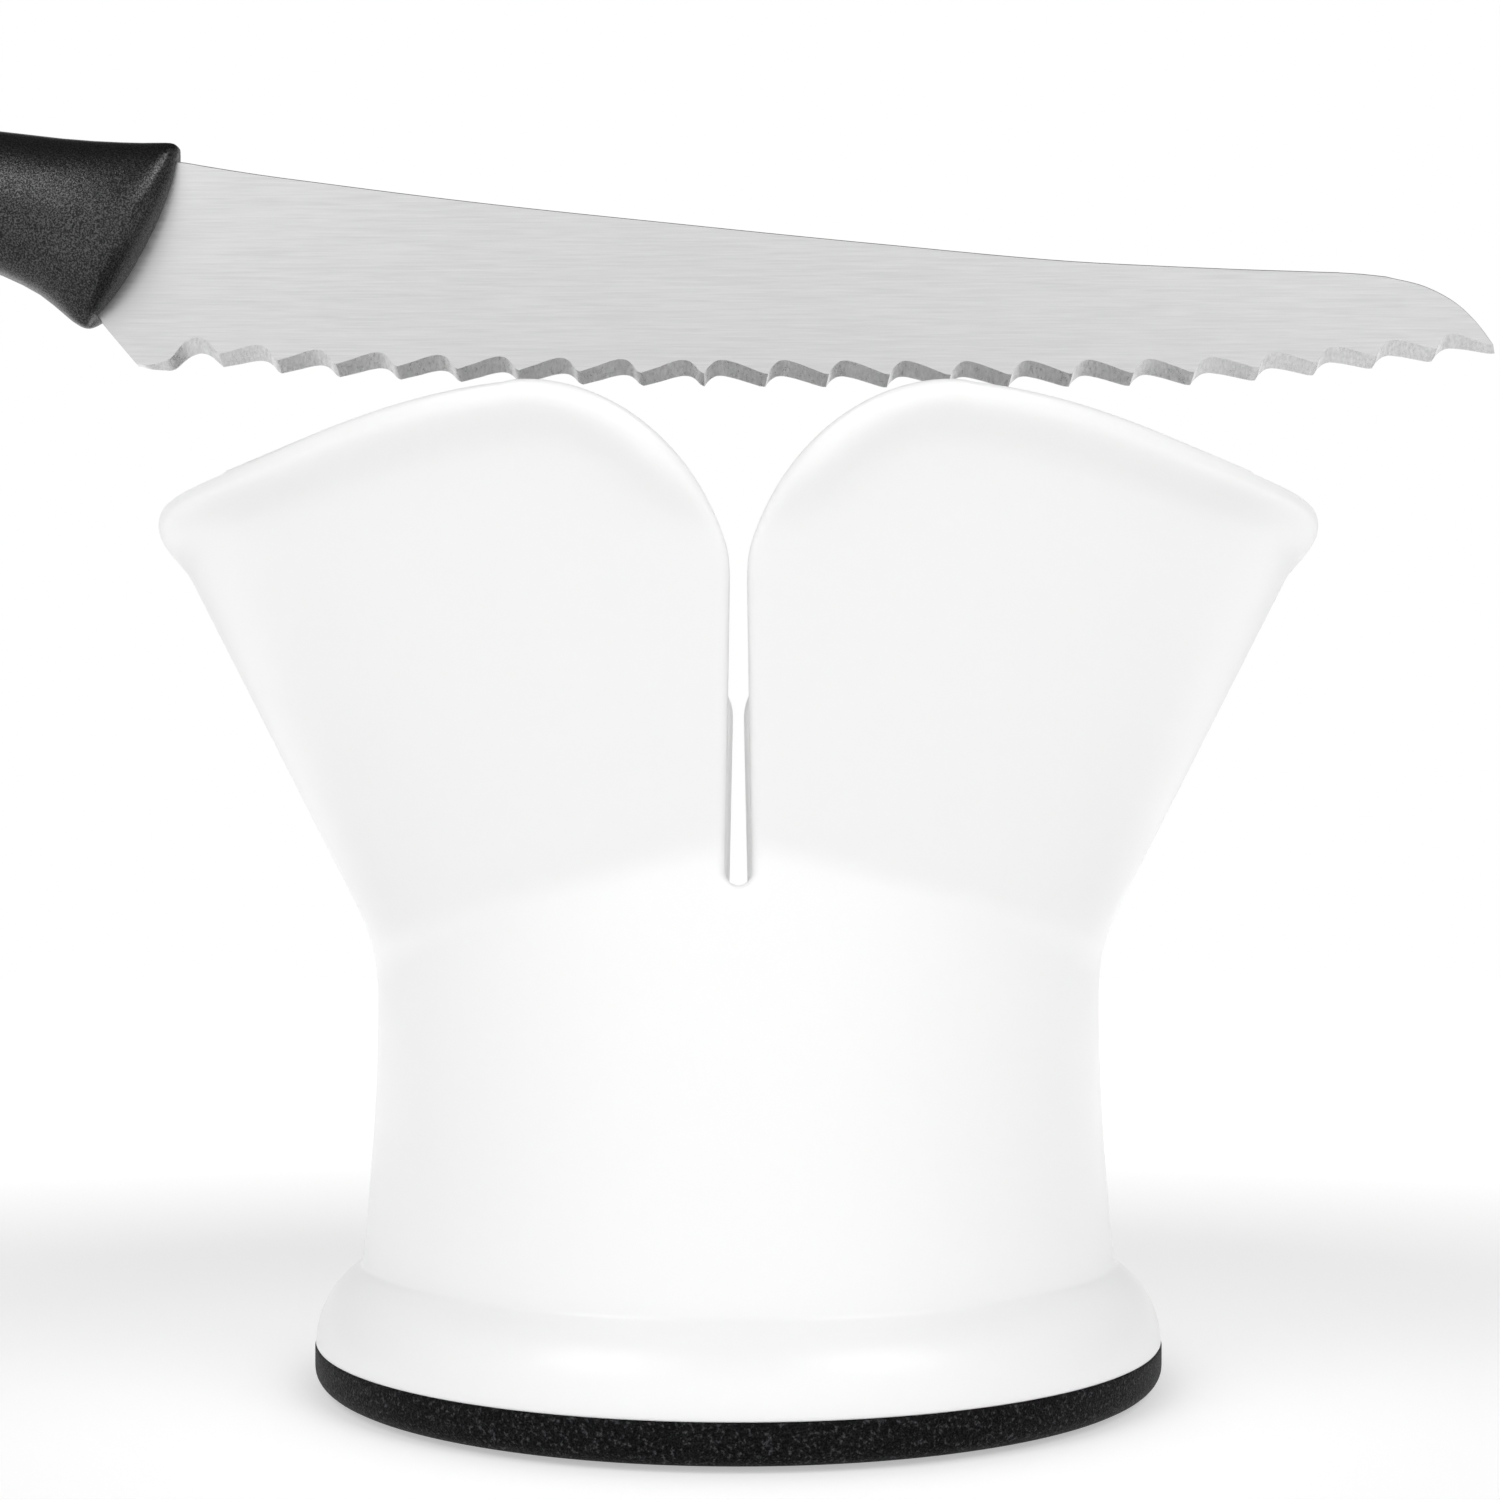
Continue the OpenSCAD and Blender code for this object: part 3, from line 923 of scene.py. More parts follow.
def keep_result(made: bpy.types.Object) -> bpy.types.Object:
    """Keeps what an object's modifiers make of it as its plain mesh, and removes them.

    Args:
        made: object with modifiers.

    Returns:
        The same object with its new mesh.
    """
    bpy.context.view_layer.update()
    graph = bpy.context.evaluated_depsgraph_get()
    mesh = bpy.data.meshes.new_from_object(
        made.evaluated_get(graph), preserve_all_data_layers=True, depsgraph=graph)
    made.modifiers.clear()
    made.data = mesh
    mesh.name = made.name
    return made


# Base


@dataclass
class Base:
    """Black base plate, soft pad, steel weight on its peg, and four screws up into the shell's bosses."""

    plate_r: float = 51.7
    plate_t: float = 4.75
    edge_round: float = 2.2
    pad_r: float = 45.9
    seat: float = 1.5
    rim_r: float = 47.9
    peg_r: float = 3.0
    weight_r: float = 27.5
    weight_t: float = 5.0
    screw_circle: float = 33.0
    screw_r: float = 1.5
    screw_length: float = 13.0
    head_r: float = 2.8
    head_t: float = 1.8
    boss_r: float = 4.0
    ceiling: float = 25.0
    plastic: TexturedBlackPlastic = field(default_factory=TexturedBlackPlastic)
    pad_rings: tuple = (14.0, 26.0, 38.0)
    screw_count: int = 4
    rubber: SoftRubber = field(default_factory=SoftRubber)
    steel: BrushedSteel = field(default_factory=lambda: BrushedSteel(
        name="zinc_plated_turned_steel", stretch=(1.0, 1.0, 0.2)))

    def plate_profile(self) -> list:
        """Profile of the plate from the pad's seat round the edge to the peg.

        Returns:
            Radius and height of each point.
        """
        e, r, t = self.edge_round, self.plate_r, self.plate_t
        rounding = [(r - e + e * math.sin(a), e - e * math.cos(a)) for a in np.linspace(0, math.pi / 2, 9)]
        seat, pad, rim, peg = self.seat, self.pad_r, self.rim_r, self.peg_r
        pad_seat = [(0, seat), (pad + 0.15, seat), (pad + 0.2, seat - 0.1), (pad + 0.2, 0.15), (pad + 0.35, 0)]
        top = [(r, t - 0.25), (r - 0.08, t - 0.08), (r - 0.25, t)]
        locating_rim = [(rim, t), (rim, t + 2.6), (rim - 0.4, t + 3), (rim - 1.9, t + 3), (rim - 2.3, t + 2.6),
                        (rim - 2.3, t)]
        locating_peg = [(peg, t), (peg, t + 5.5), (peg - 0.5, t + 6), (0, t + 6)]
        return pad_seat + rounding + top + locating_rim + locating_peg

    def ring_tree(self, name: str, material: bpy.types.Material, cut_from: bool) -> bpy.types.NodeTree:
        """Geometry Nodes that set one shape at each screw's place, and cut them from another if asked.

        Args:
            name: name of the tree.
            material: finish of the result.
            cut_from: whether the shapes are cut from the Geometry input.

        Returns:
            The tree, with the inputs Geometry, Part, Ring Radius, Count and First Angle.
        """
        tree = bpy.data.node_groups.new(name, "GeometryNodeTree")
        tree.interface.new_socket("Geometry", in_out="INPUT", socket_type="NodeSocketGeometry")
        tree.interface.new_socket("Part", in_out="INPUT", socket_type="NodeSocketObject")
        for label, kind in (("Ring Radius", "NodeSocketFloat"), ("Count", "NodeSocketInt"),
                            ("First Angle", "NodeSocketFloat")):
            tree.interface.new_socket(label, in_out="INPUT", socket_type=kind)
        tree.interface.new_socket("Geometry", in_out="OUTPUT", socket_type="NodeSocketGeometry")
        given = put(tree, "NodeGroupInput")
        part = put(tree, "GeometryNodeObjectInfo", {"Object": given.outputs["Part"]})
        ring = put(tree, "GeometryNodeMeshCircle", {"Vertices": given.outputs["Count"],
                                                    "Radius": given.outputs["Ring Radius"]})
        first = put(tree, "ShaderNodeCombineXYZ", {"Z": given.outputs["First Angle"]})
        turned = put(tree, "GeometryNodeTransform", {"Geometry": ring.outputs[0], "Rotation": first.outputs[0]})
        place = put(tree, "GeometryNodeInputPosition")
        parts = put(tree, "ShaderNodeSeparateXYZ", {0: place.outputs[0]})
        angle = put(tree, "ShaderNodeMath", {0: parts.outputs["Y"], 1: parts.outputs["X"]}, operation="ARCTAN2")
        spin = put(tree, "ShaderNodeCombineXYZ", {"Z": angle.outputs[0]})
        copies = put(tree, "GeometryNodeInstanceOnPoints", {
            "Points": turned.outputs[0], "Instance": part.outputs["Geometry"], "Rotation": spin.outputs[0]})
        real = put(tree, "GeometryNodeRealizeInstances", {"Geometry": copies.outputs[0]})
        result = real.outputs[0]
        if cut_from:
            cut = put(tree, "GeometryNodeMeshBoolean", {"Mesh 1": given.outputs["Geometry"], "Mesh 2": result},
                      operation="DIFFERENCE")
            result = put(tree, "GeometryNodeRealizeInstances", {"Geometry": cut.outputs[0]}).outputs[0]
        dressed = put(tree, "GeometryNodeSetMaterial", {"Geometry": result, "Material": material})
        put(tree, "NodeGroupOutput", {0: dressed.outputs[0]})
        return tree

    def ring_of(self, made: bpy.types.Object, part: bpy.types.Object, material: bpy.types.Material,
                cut: bool) -> bpy.types.Object:
        """Sets or cuts four copies of a part round the base, and deletes the part.

        Args:
            made: object that becomes the copies, or that they are cut from.
            part: the part, at the axis.
            material: finish of the result.
            cut: whether the copies are cut from the object.

        Returns:
            The same object with its new mesh.
        """
        tree = self.ring_tree(f"{made.name}_ring", material, cut)
        values = {"Part": part, "Ring Radius": self.screw_circle * MM, "Count": self.screw_count,
                  "First Angle": math.pi / 4}
        baked = bake_nodes(made, tree, values)
        bpy.data.objects.remove(part)
        baked.data.shade_smooth()
        baked.data.set_sharp_from_angle(angle=math.radians(32))
        return baked

    def plate(self) -> None:
        """Lathes the plate and cuts the screws' seats through it."""
        material = self.plastic.make()
        made = lathe("base_plate_moulding", self.plate_profile(), 180)
        clear, wide = self.screw_r + 0.2, self.head_r + 0.3
        deep = self.seat + self.head_t + 0.2
        high = self.plate_t + 1
        profile = [(0, -1), (wide, -1), (wide, deep), (clear, deep), (clear, high), (0, high)]
        tool = lathe("screw_seat", profile, 40)
        settle(self.ring_of(made, tool, material, True), Body.HOLDER, Slot.BASE, "base_plate")

    def pad(self) -> None:
        """Lathes the soft pad, with a rounded edge and three shallow rings that let it grip."""
        low = -PAD_OUT
        rings = []
        for r in self.pad_rings:
            rings += [(r - 1.4, low), (r - 1.0, low + 0.3), (r + 1.0, low + 0.3), (r + 1.4, low)]
        edge, high = self.pad_r, self.seat - 0.02
        side = [(edge - 0.6, low), (edge - 0.15, low + 0.2), (edge, low + 0.6), (edge, self.seat - 0.3)]
        made = lathe("grip_pad", [(0, low), *rings, *side, (edge - 0.2, high), (0, high)], 144)
        made.data.materials.append(self.rubber.make())
        settle(made, Body.HOLDER, Slot.PAD, "non_slip_pad")

    def weight(self, material: bpy.types.Material) -> None:
        """Lathes the steel weight, with its chamfers and bore.

        Args:
            material: the steel's finish.
        """
        low, high, bore, r = self.plate_t, self.plate_t + self.weight_t, self.peg_r + 0.2, self.weight_r
        outside = [(bore + 0.3, low), (r - 0.6, low), (r, low + 0.6), (r, high - 0.6), (r - 0.6, high)]
        inside = [(bore + 0.3, high), (bore, high - 0.3), (bore, low + 0.3)]
        made = lathe("steel_weight", outside + inside, 120, closed=True)
        made.data.materials.append(material)
        settle(made, Body.HOLDER, Slot.WEIGHT, "ballast_disc")

    def screws(self, material: bpy.types.Material) -> None:
        """Lathes one threaded screw with a cross recess and sets four of them.

        Args:
            material: the steel's finish.
        """
        low = self.seat + 0.2
        thread = []
        for z in np.arange(low + self.head_t + 1.0, low + self.screw_length - 1.2, 0.9):
            thread += [(self.screw_r - 0.28, z), (self.screw_r, z + 0.4), (self.screw_r, z + 0.5)]
        under, end = low + self.head_t, low + self.screw_length
        head = [(0, low), (self.head_r - 0.5, low), (self.head_r - 0.12, low + 0.35), (self.head_r, low + 0.8),
                (self.head_r, under), (self.screw_r - 0.1, under)]
        screw = lathe("screw", head + thread + [(0.4, end), (0, end)], 28)
        for turn in (0, math.pi / 2):
            x, y = (1.6, 0.35) if turn == 0 else (0.35, 1.6)
            corners = [(sx * x * k, sy * y * k, z) for z, k in ((low - 0.5, 1.05), (low + 1.0, 0.7))
                       for sx, sy in ((-1, -1), (1, -1), (1, 1), (-1, 1))]
            sides = [(3, 2, 1, 0), (4, 5, 6, 7)] + [(i, (i + 1) % 4, (i + 1) % 4 + 4, i + 4) for i in range(4)]
            screw = self.cut_once(screw, mesh_object("recess", np.array(corners), sides, False))
        made = mesh_object("countersunk_screws", np.array([(0, 0, 0)]), [])
        settle(self.ring_of(made, screw, material, False), Body.HOLDER, Slot.SCREWS, "base_screws")

    @staticmethod
    def cut_once(made: bpy.types.Object, tool: bpy.types.Object) -> bpy.types.Object:
        """Cuts one object from another and deletes the tool.

        Args:
            made: object that is cut.
            tool: shape that is taken away.

        Returns:
            The same object with its new mesh.
        """
        cut = made.modifiers.new("cut", "BOOLEAN")
        cut.object, cut.operation, cut.solver = tool, "DIFFERENCE", "EXACT"
        keep_result(made)
        bpy.data.objects.remove(tool)
        return made

    def bosses(self, material: bpy.types.Material) -> None:
        """Sets the shell's four screw bosses, which hang from the pocket's floor.

        Args:
            material: the shell's finish.
        """
        low, high, r, bore = self.plate_t + 0.02, self.ceiling + 0.2, self.boss_r, self.screw_r
        end = low + self.screw_length
        outside = [(bore + 0.3, low), (r - 0.2, low), (r, low + 0.2), (r + 0.15, high), (0, high)]
        boss = lathe("boss", outside + [(0, end + 0.3), (bore, end), (bore, low + 0.3)], 48, closed=True)
        made = mesh_object("screw_bosses", np.array([(0, 0, 0)]), [])
        settle(self.ring_of(made, boss, material, False), Body.HOLDER, Slot.SHELL, "body_shell")

    def build(self, shell_material: bpy.types.Material) -> None:
        """Makes every piece of the base.

        Args:
            shell_material: finish of the screw bosses.
        """
        steel = self.steel.make()
        self.plate()
        self.pad()
        self.weight(steel)
        self.screws(steel)
        self.bosses(shell_material)


# Knife


@dataclass
class KnifeBlade:
    """Serrated blade: one plate of steel with a tang, its teeth ground from the front."""

    lift: float = 124.25
    thick: float = 1.0
    edge_thick: float = 0.15
    chamfer: float = 0.12
    depth: float = 1.3
    edge_step: float = 0.32
    tip_end: tuple = (94.65, 2.2)
    band_ends: tuple = (-75.1, -69, 86, 94.65)
    band_turn: tuple = (-8, 0)
    band_shift: float = 0.35
    tip_shift: float = 0.5
    band_height: float = 1.35
    tip_band_height: float = 0.85
    band_gain: float = 0.35
    first_teeth: tuple = ((-64.45, 7.3), (-57.15, 7.3))
    middle_tooth: float = -49.85
    pitch: float = 7.6
    middle_teeth: int = 14
    heel_facing: int = 6
    last_teeth: tuple = ((56.55, 8.1), (64.65, 7.3), (71.95, 7.35), (79.3, 7.45), (86.75, 7.9))
    point_line: tuple = (
        (-64.45, .5), (-57.15, -.3), (-49.85, -.76), (-35, -1.35), (-10, -1.9), (30, -2.1), (56.55, -1.75),
        (64.65, -1.17), (71.95, -.52), (79.3, .33), (86.75, 1.18), (94.65, 2.2))
    tip_tooth: tuple = (
        (0, 0), (.05, .42), (.1, .68), (.17, .95), (.26, 1.04), (.42, .89), (.7, .43), (.85, .16),
        (.93, .03))
    heel_tooth: tuple = (
        (0, 0), (.1, .16), (.3, .48), (.52, .86), (.68, 1.01), (.79, .9), (.87, .58), (.95, .12))
    heel: tuple = (
        (-71.1, .04), (-70.5, .21), (-69.7, .86), (-68.95, 1.5), (-68.2, 1.95), (-67.3, 2.2),
        (-66.7, 2.13), (-65.95, 1.8), (-65.2, 1.15), (-64.45, .5))
    corner: tuple = ((-75.1, .6), (-74.6, .55), (-74.1, .35), (-73.4, .2), (-72.2, .1))
    tip: tuple = ((94.15, 3.1), (92.8, 5.0), (89.8, 8.06), (86, 10.2), (80.8, 11.56))
    spine: tuple = (
        (80.8, 11.56), (77.3, 11.93), (71, 12.2), (64, 12.42), (57, 12.7), (51, 12.97), (45.2, 13.25),
        (18, 15.6), (-8, 18.2), (-32.3, 20.77), (-42, 21.94), (-51, 23.1), (-60, 24.3), (-65.5, 25.16),
        (-69.6, 25.85), (-84, 26.5))
    tang: tuple = ((-150, 27.5), (-152, 22.5), (-150, 20.5), (-88, 18.5), (-79.2, 5.45), (-75.1, .6))
    face: BrushedSteel = field(default_factory=BrushedSteel)
    # Ground finish of the teeth: real vertical grind streaks, and a base colour lighter than the face's, which is
    # painted light offsetting the shade on the downward-facing band.
    ground: BrushedSteel = field(default_factory=lambda: BrushedSteel(
        name="ground_stainless_teeth", colour="#dcdcdc", dark_colour="#c2c2c3", stretch=(1.0, 1.0, 0.05),
        streak_mm=0.3, roughness=0.3, depth_mm=0.012))

    def tooth(self, x: float, pitch: float, shape: tuple) -> np.ndarray:
        """Cutting edge of one tooth, from its point up to just before the next one.

        Args:
            x: place of the tooth's point.
            pitch: distance to the next point.
            shape: share of the pitch and share of the depth of each place on the tooth.

        Returns:
            Places along the edge, in the blade's plane.
        """
        line = np.array(self.point_line)
        given = [(x + a * pitch, np.interp(x + a * pitch, line[:, 0], line[:, 1]) + b * self.depth)
                 for a, b in shape]
        given.append((x + pitch, np.interp(x + pitch, line[:, 0], line[:, 1])))
        return through(given, self.edge_step)[:-1]

    def edge(self) -> np.ndarray:
        """Whole cutting edge from the heel's corner to the tip.

        Returns:
            Places along the edge, in the blade's plane.
        """
        rows = [np.array(self.corner), through(self.heel, self.edge_step)[:-1]]
        rows += [self.tooth(x, pitch, self.heel_tooth) for x, pitch in self.first_teeth]
        for k in range(self.middle_teeth):
            shape = self.heel_tooth if k < self.heel_facing else self.tip_tooth
            rows.append(self.tooth(self.middle_tooth + k * self.pitch, self.pitch, shape))
        rows += [self.tooth(x, pitch, self.tip_tooth) for x, pitch in self.last_teeth]
        return np.concatenate(rows + [np.array([self.tip_end])])

    def band(self, edge: np.ndarray) -> np.ndarray:
        """Upper limit of the ground band, which repeats the teeth a little higher, deeper and further along.

        Args:
            edge: places along the cutting edge.

        Returns:
            The band's upper limit over each of them.
        """
        x = edge[:, 0]
        line = np.array(self.point_line)
        rise = np.clip((edge[:, 1] - np.interp(x, line[:, 0], line[:, 1])) / self.depth, 0, 1)
        near, end = smooth_step(x, *self.band_ends[:2]), smooth_step(x, *self.band_ends[2:])
        lean = 2 * smooth_step(x, *self.band_turn) - 1
        along = self.band_shift * lean * (1 - end) - self.tip_shift * end
        gain = self.band_gain * rise
        up = (self.band_height + gain) * (1 - end) + (self.tip_band_height + gain) * end
        return edge + np.stack([along, up], -1) * near[:, None]

    def build(self) -> None:
        """Makes the blade and lets it stand for the CAD blade."""
        edge = self.edge()
        inner = self.band(edge)
        rest = np.concatenate([through(self.tip, 0.6)[:-1], through(self.spine, 3.0), np.array(self.tang)])
        along = np.gradient(rest, axis=0)
        along /= np.linalg.norm(along, axis=1, keepdims=True)
        inset = rest + np.stack([-along[:, 1], along[:, 0]], -1) * self.chamfer
        half, n, m = self.thick / 2, len(edge), len(rest)
        inset, between = inset[1:-1], rest[1:-1]
        lines = [(inner, -half), (edge, half - self.edge_thick), (edge, half), (inset, -half),
                 (between, self.chamfer - half), (between, half - self.chamfer), (inset, half), (rest[:1], half)]
        points, starts = [], []
        for line, y in lines:
            starts.append(sum(map(len, points)))
            points.append(np.stack([line[:, 0], np.full(len(line), y), line[:, 1] + self.lift], -1))
        front, low, back, in_f, out_f, out_b, in_b, corner = starts
        k = m - 2
        faces = [[front + i for i in range(n)] + [in_f + i for i in range(k)]]
        faces.append([back + i for i in range(n)] + [corner] + [in_b + i for i in range(k)])
        for a, b in ((in_f, out_f), (out_f, out_b), (out_b, in_b)):
            faces += [[a + i, a + i + 1, b + i + 1, b + i] for i in range(k - 1)]
        tip_f, heel_f = front + n - 1, front
        faces += [[tip_f, in_f, out_f], [tip_f, out_f, out_b, corner], [corner, out_b, in_b],
                  [tip_f, low + n - 1, back + n - 1, corner]]
        end_f, end_out_f, end_out_b, end_b = (i + k - 1 for i in (in_f, out_f, out_b, in_b))
        faces += [[heel_f, end_f, end_out_f], [heel_f, end_out_f, end_out_b, back, low],
                  [back, end_out_b, end_b]]
        teeth_from = len(faces)
        faces += [[front + i, front + i + 1, low + i + 1, low + i] for i in range(n - 1)]
        faces += [[low + i, low + i + 1, back + i + 1, back + i] for i in range(n - 1)]
        made = mesh_object("serrated_blade", np.concatenate(points), faces)
        made.data.materials.append(self.face.make())
        made.data.materials.append(self.ground.make())
        for face in made.data.polygons[teeth_from:]:
            face.material_index = 1
        close_up(made, 24)
        settle(made, Body.KNIFE, Slot.BLADE, "knife_blade")


@dataclass
class KnifeHandle:
    """Moulded grip: slanted sections from the blade's shoulder to a rounded butt.

    Each row holds the section's upper and lower point in the knife's plane, its half thickness, how far it
    bulges towards the blade, and the power of its rounded outline.
    """

    rows: tuple = (
        (-69.85, 151.7, -81.1, 129.85, 0.0, 1.9, 2.2), (-69.8, 151.85, -81.2, 129.7, 2.0, 1.89, 2.2),
        (-69.85, 151.9, -81.25, 129.65, 3.0, 1.87, 2.2), (-69.95, 152.05, -81.4, 129.6, 3.9, 1.83, 2.2),
        (-70.15, 152.25, -81.65, 129.57, 4.6, 1.78, 2.2), (-70.4, 152.4, -82.0, 129.65, 5.15, 1.68, 2.2),
        (-70.8, 152.48, -82.5, 129.85, 5.6, 1.5, 2.2), (-71.4, 152.5, -83.2, 130.3, 5.95, 1.3, 2.2),
        (-72.4, 152.47, -84.1, 131.05, 6.2, 1.05, 2.2), (-74.0, 152.42, -85.55, 132.3, 6.36, 0.75, 2.2),
        (-76.5, 152.45, -87.5, 133.8, 6.44, 0.5, 2.2), (-80.0, 152.6, -89.8, 135.1, 6.44, 0.3, 2.2),
        (-84.0, 152.9, -92.3, 136.25, 6.44, 0.15, 2.2), (-92.3, 153.8, -97.8, 138.4, 6.44, 0.0, 2.3),
        (-99.0, 154.25, -103.0, 139.9, 6.44, 0.0, 2.4), (-106.0, 154.7, -108.0, 140.75, 6.44, 0.0, 2.4),
        (-114.0, 155.1, -115.0, 141.25, 6.44, 0.0, 2.4), (-122.0, 155.45, -122.0, 141.4, 6.44, 0.0, 2.4),
        (-131.0, 155.7, -131.0, 141.2, 6.44, 0.0, 2.4), (-141.0, 155.75, -141.0, 140.6, 6.44, 0.0, 2.4),
        (-150.0, 155.45, -150.0, 139.65, 6.44, 0.0, 2.4), (-160.0, 154.95, -160.0, 138.4, 6.42, 0.0, 2.4),
        (-168.5, 154.25, -169.0, 137.0, 6.35, 0.0, 2.4), (-175.0, 153.45, -176.0, 135.7, 6.2, 0.0, 2.4),
        (-179.0, 152.6, -180.0, 135.6, 5.85, 0.0, 2.4), (-181.6, 151.4, -182.4, 136.6, 5.1, 0.0, 2.4),
        (-183.2, 149.9, -183.9, 138.2, 4.1, 0.0, 2.4), (-184.2, 148.1, -184.6, 140.2, 2.8, 0.0, 2.3),
        (-184.75, 146.0, -184.85, 142.4, 1.3, 0.0, 2.2))
    butt: tuple = (-184.9, 0.0, 144.2)
    taper: float = 0.3
    round_points: int = 56
    # The grain's tips are painted a little lighter: a painted glint.
    finish: TexturedBlackPlastic = field(default_factory=lambda: TexturedBlackPlastic(
        name="grained_black_polypropylene", colour="#09090a", glint_paint_colour="#1c1c1d", grain_mm=0.42,
        depth_mm=0.05, roughness=0.28, specular=0.4, glint_paint=0.5))

    def build(self) -> None:
        """Lofts the grip and lets it stand for the CAD handle."""
        dense = [np.array(self.rows[0])]
        for a, b in zip(self.rows[:-1], self.rows[1:]):
            steps = 3 if abs(a[0] - b[0]) > 3 else 2
            dense += [np.array(a) + (np.array(b) - np.array(a)) * i / steps for i in range(1, steps + 1)]
        rows = np.array(dense)
        turn = np.arange(self.round_points) * 2 * math.pi / self.round_points
        c, s = np.cos(turn), np.sin(turn)
        rings = []
        for top_x, top_z, low_x, low_z, wide, bulge, power in rows:
            v = np.sign(c) * np.abs(c) ** (2 / power)
            top, low = np.array([top_x, top_z]), np.array([low_x, low_z])
            ahead = np.array([low[1] - top[1], top[0] - low[0]]) / -np.linalg.norm(top - low)
            straight = (top + low) / 2 + (top - low) / 2 * v[:, None]
            line = straight + ahead * bulge * (1 - np.abs(v[:, None]) ** 2.5)
            narrow = 1 - self.taper * smooth_step(v, -0.35, 1.1)  # narrower towards the spine
            out = wide * narrow * np.sign(s) * np.abs(s) ** (2 / power)
            rings.append(np.stack([line[:, 0], out, line[:, 1]], -1))
        n = self.round_points
        points = np.concatenate(rings + [np.array([self.butt])])
        faces = grid_faces(len(rings), n, closed=True)
        last, pole = (len(rings) - 1) * n, len(rings) * n
        faces += [[last + i, last + (i + 1) % n, pole] for i in range(n)]
        made = mesh_object("knife_grip", points, faces)
        made.data.materials.append(self.finish.make())
        close_up(made, 50)
        settle(made, Body.KNIFE, Slot.HANDLE, "knife_handle")


# Studio


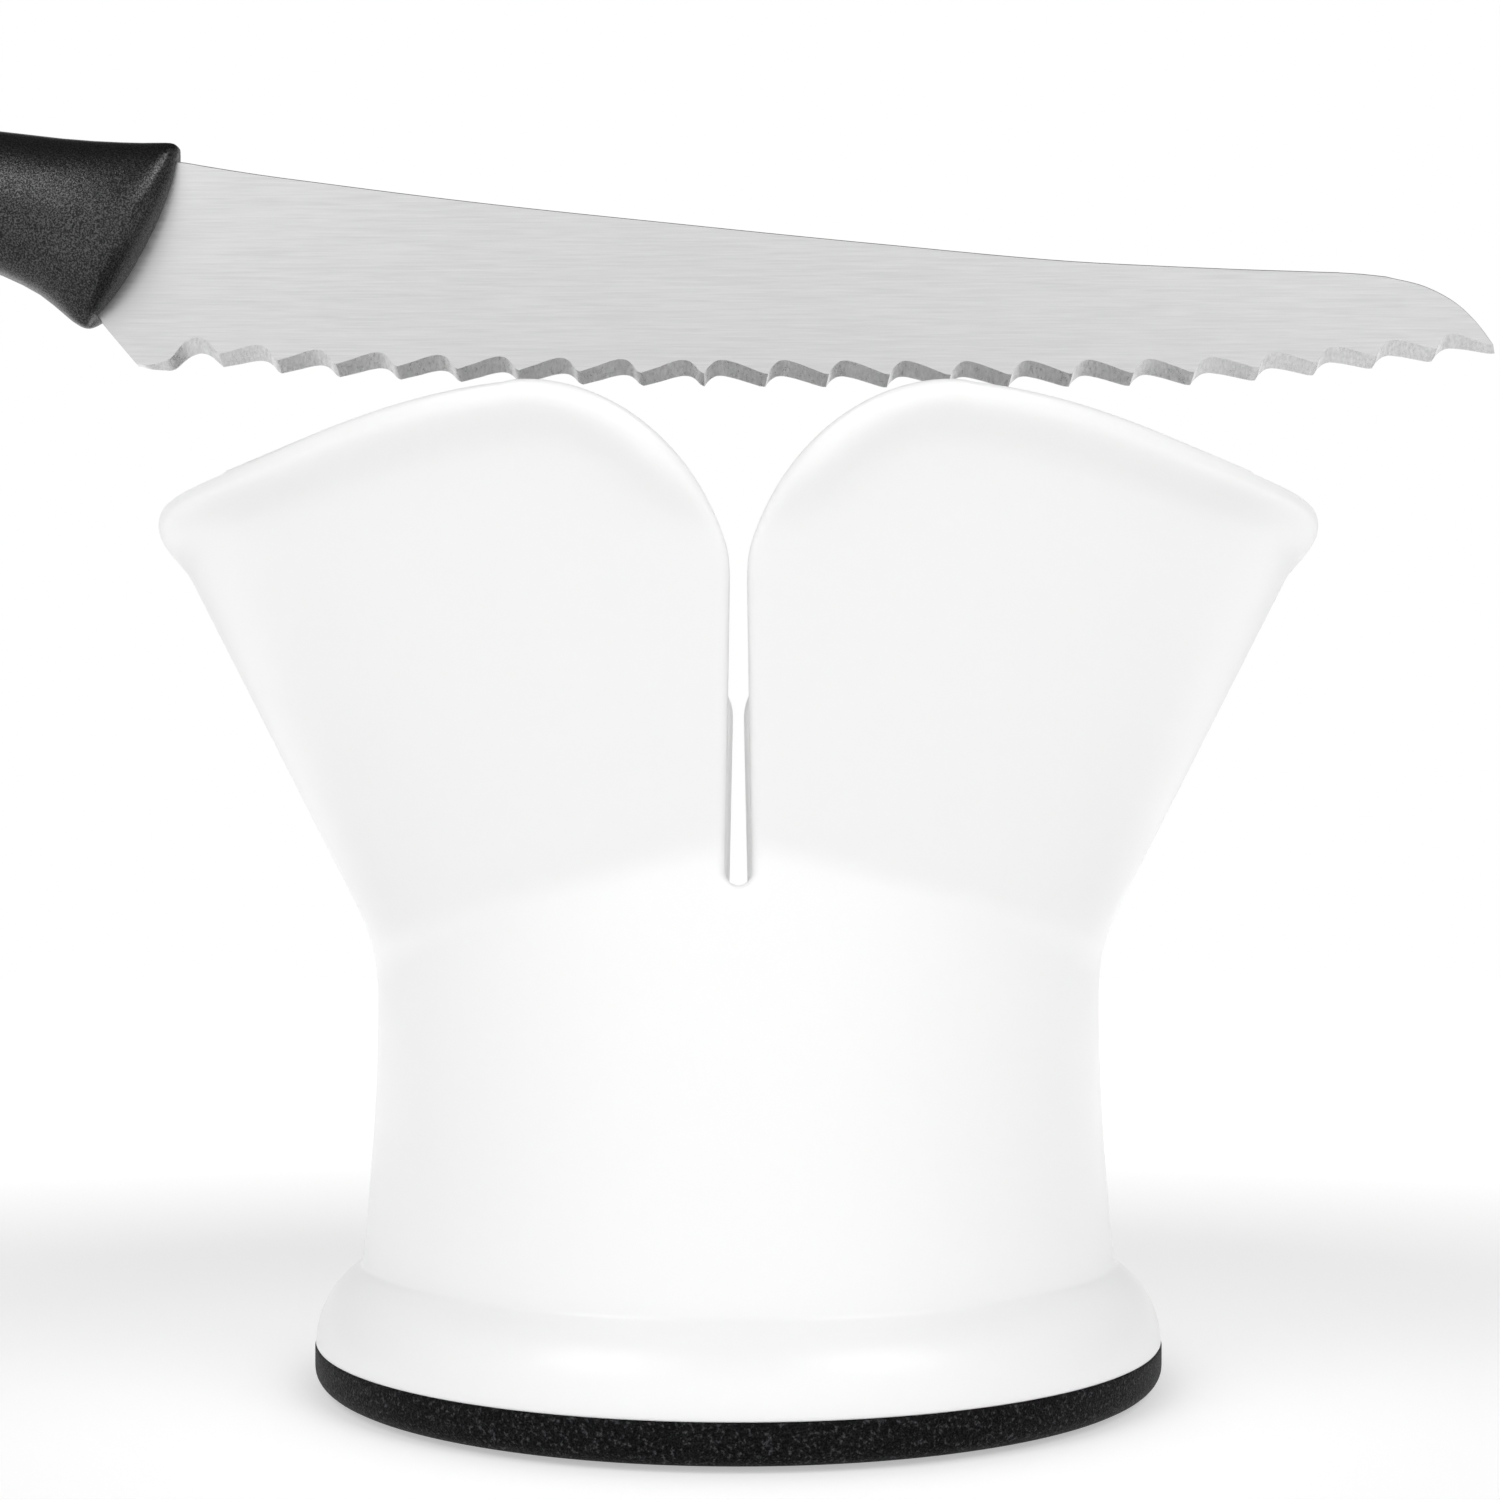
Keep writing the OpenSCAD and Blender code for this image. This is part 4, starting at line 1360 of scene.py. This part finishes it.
@dataclass
class Studio:
    """Plain pale floor, soft lights and the camera at the photo's viewing angle."""

    lens: float = 46.8
    distance: float = 0.24375
    eye_height: float = 0.0505
    shift_x: float = 0.0077
    shift_y: float = 0.1427
    floor_colour: str = "#d6d6d6"
    floor_half: float = 6.0
    floor_glow: float = 0.42
    glow_centre: tuple[float, float, float] = (0.0, -0.2, 0.0)
    glow_reach: tuple[float, float] = (0.25, 0.8)
    far_glow: float = 1.0
    front_level: float = 1.25
    back_level: float = 0.83
    zenith_gain: float = 0.1
    zenith_fade: tuple[float, float] = (0.5, 0.8)
    side_gain: float = 0.6
    side_fade: tuple[float, float] = (0.5, 0.95)
    aim_height: float = 0.06
    side_panels: tuple = ((0.55, -0.55, 0.85), (0.5, 0.5), 2.7)
    front_panel: tuple = ((0.0, -0.85, 0.9), (0.9, 0.7), 0.6)

    def camera(self) -> None:
        """Places the camera level with the holder's waist, looking along +Y."""
        data = bpy.data.cameras.new("camera")
        data.lens, data.sensor_width = self.lens, 36.0
        data.shift_x, data.shift_y = self.shift_x, self.shift_y
        data.clip_start, data.clip_end = 0.01, 20.0
        made = bpy.data.objects.new("camera", data)
        made.location = (0.0, -self.distance, self.eye_height)
        made.rotation_euler = (math.pi / 2, 0.0, 0.0)
        bpy.context.scene.collection.objects.link(made)
        bpy.context.scene.camera = made

    def floor(self) -> None:
        """Lays a plain floor that grows as bright as the room in the distance, so that no horizon shows."""
        material, tree, place = blank_material("matt_white_paper")
        away = put(tree, "ShaderNodeVectorMath", {0: place, 1: self.glow_centre}, operation="DISTANCE")
        glow = put(tree, "ShaderNodeMapRange", {
            "Value": away.outputs["Value"], "From Min": self.glow_reach[0], "From Max": self.glow_reach[1],
            "To Min": self.floor_glow, "To Max": self.far_glow}, interpolation_type="SMOOTHSTEP")
        paper = put(tree, "ShaderNodeBsdfPrincipled", {
            "Base Color": linear(self.floor_colour), "Roughness": 0.9, "Specular IOR Level": 0.0,
            "Emission Color": linear("#ffffff"), "Emission Strength": glow.outputs[0]})
        put(tree, "ShaderNodeOutputMaterial", {"Surface": paper.outputs[0]})
        size = self.floor_half
        mesh = bpy.data.meshes.new("floor")
        corners = [(-size, -size, 0), (size, -size, 0), (size, size, 0), (-size, size, 0)]
        mesh.from_pydata(corners, [], [(0, 1, 2, 3)])
        mesh.materials.append(material)
        made = bpy.data.objects.new("floor", mesh)
        bpy.context.scene.collection.objects.link(made)

    def light(self, name: str, at: tuple, size: tuple, watts: float) -> None:
        """Adds one soft panel that faces the holder.

        Args:
            name: name of the light.
            at: its place, in metres.
            size: its width and height, in metres.
            watts: its power.
        """
        data = bpy.data.lights.new(name, "AREA")
        data.shape, data.size, data.size_y, data.energy = "RECTANGLE", size[0], size[1], watts
        made = bpy.data.objects.new(name, data)
        made.location = at
        made.rotation_mode = "QUATERNION"
        made.rotation_quaternion = (Vector(at) - Vector((0, 0, self.aim_height))).to_track_quat("Z", "Y")
        bpy.context.scene.collection.objects.link(made)

    def room(self) -> None:
        """Pale walls round the holder: bright in front, dimmer behind and beside it, white to the camera."""
        world = bpy.data.worlds.new("pale_room")
        world.use_nodes = True
        tree = world.node_tree
        tree.nodes.clear()
        way = put(tree, "ShaderNodeTexCoord").outputs["Generated"]
        parts = put(tree, "ShaderNodeSeparateXYZ", {0: way})
        depth = put(tree, "ShaderNodeMapRange", {
            "Value": parts.outputs["Y"], "From Min": -1.0, "From Max": 0.0,
            "To Min": self.front_level, "To Max": self.back_level}, interpolation_type="SMOOTHSTEP")
        above = put(tree, "ShaderNodeMapRange", {
            "Value": parts.outputs["Z"], "From Min": self.zenith_fade[0], "From Max": self.zenith_fade[1],
            "To Min": 1.0, "To Max": self.zenith_gain}, interpolation_type="SMOOTHSTEP")
        across = put(tree, "ShaderNodeMath", {0: parts.outputs["X"]}, operation="ABSOLUTE")
        beside = put(tree, "ShaderNodeMapRange", {
            "Value": across.outputs[0], "From Min": self.side_fade[0], "From Max": self.side_fade[1],
            "To Min": 1.0, "To Max": self.side_gain}, interpolation_type="SMOOTHSTEP")
        upper = put(tree, "ShaderNodeMath", {0: depth.outputs[0], 1: above.outputs[0]}, operation="MULTIPLY")
        level = put(tree, "ShaderNodeMath", {0: upper.outputs[0], 1: beside.outputs[0]}, operation="MULTIPLY")
        glow = put(tree, "ShaderNodeBackground", {"Color": linear("#ffffff"), "Strength": level.outputs[0]})
        plain = put(tree, "ShaderNodeBackground", {"Color": linear("#ffffff"), "Strength": 1.0})
        seen = put(tree, "ShaderNodeLightPath").outputs["Is Camera Ray"]
        both = put(tree, "ShaderNodeMixShader", {0: seen, 1: glow.outputs[0], 2: plain.outputs[0]})
        put(tree, "ShaderNodeOutputWorld", {"Surface": both.outputs[0]})
        bpy.context.scene.world = world

    def build(self) -> None:
        """Makes the whole studio."""
        self.camera()
        self.floor()
        self.room()
        (x, y, z), size, watts = self.side_panels
        for name, side in (("left_panel", -1), ("right_panel", 1)):
            self.light(name, (x * side, y, z), size, watts)
        self.light("front_panel", *self.front_panel)
        bpy.context.scene.view_settings.view_transform = "Standard"


def main() -> None:
    """Builds and dresses the whole part."""
    logging.basicConfig(level=logging.INFO, format="%(name)s %(message)s")
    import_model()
    Studio().build()
    white = HolderShell().build()
    Base().build(white)
    KnifeBlade().build()
    KnifeHandle().build()


if __name__ == "__main__":
    main()
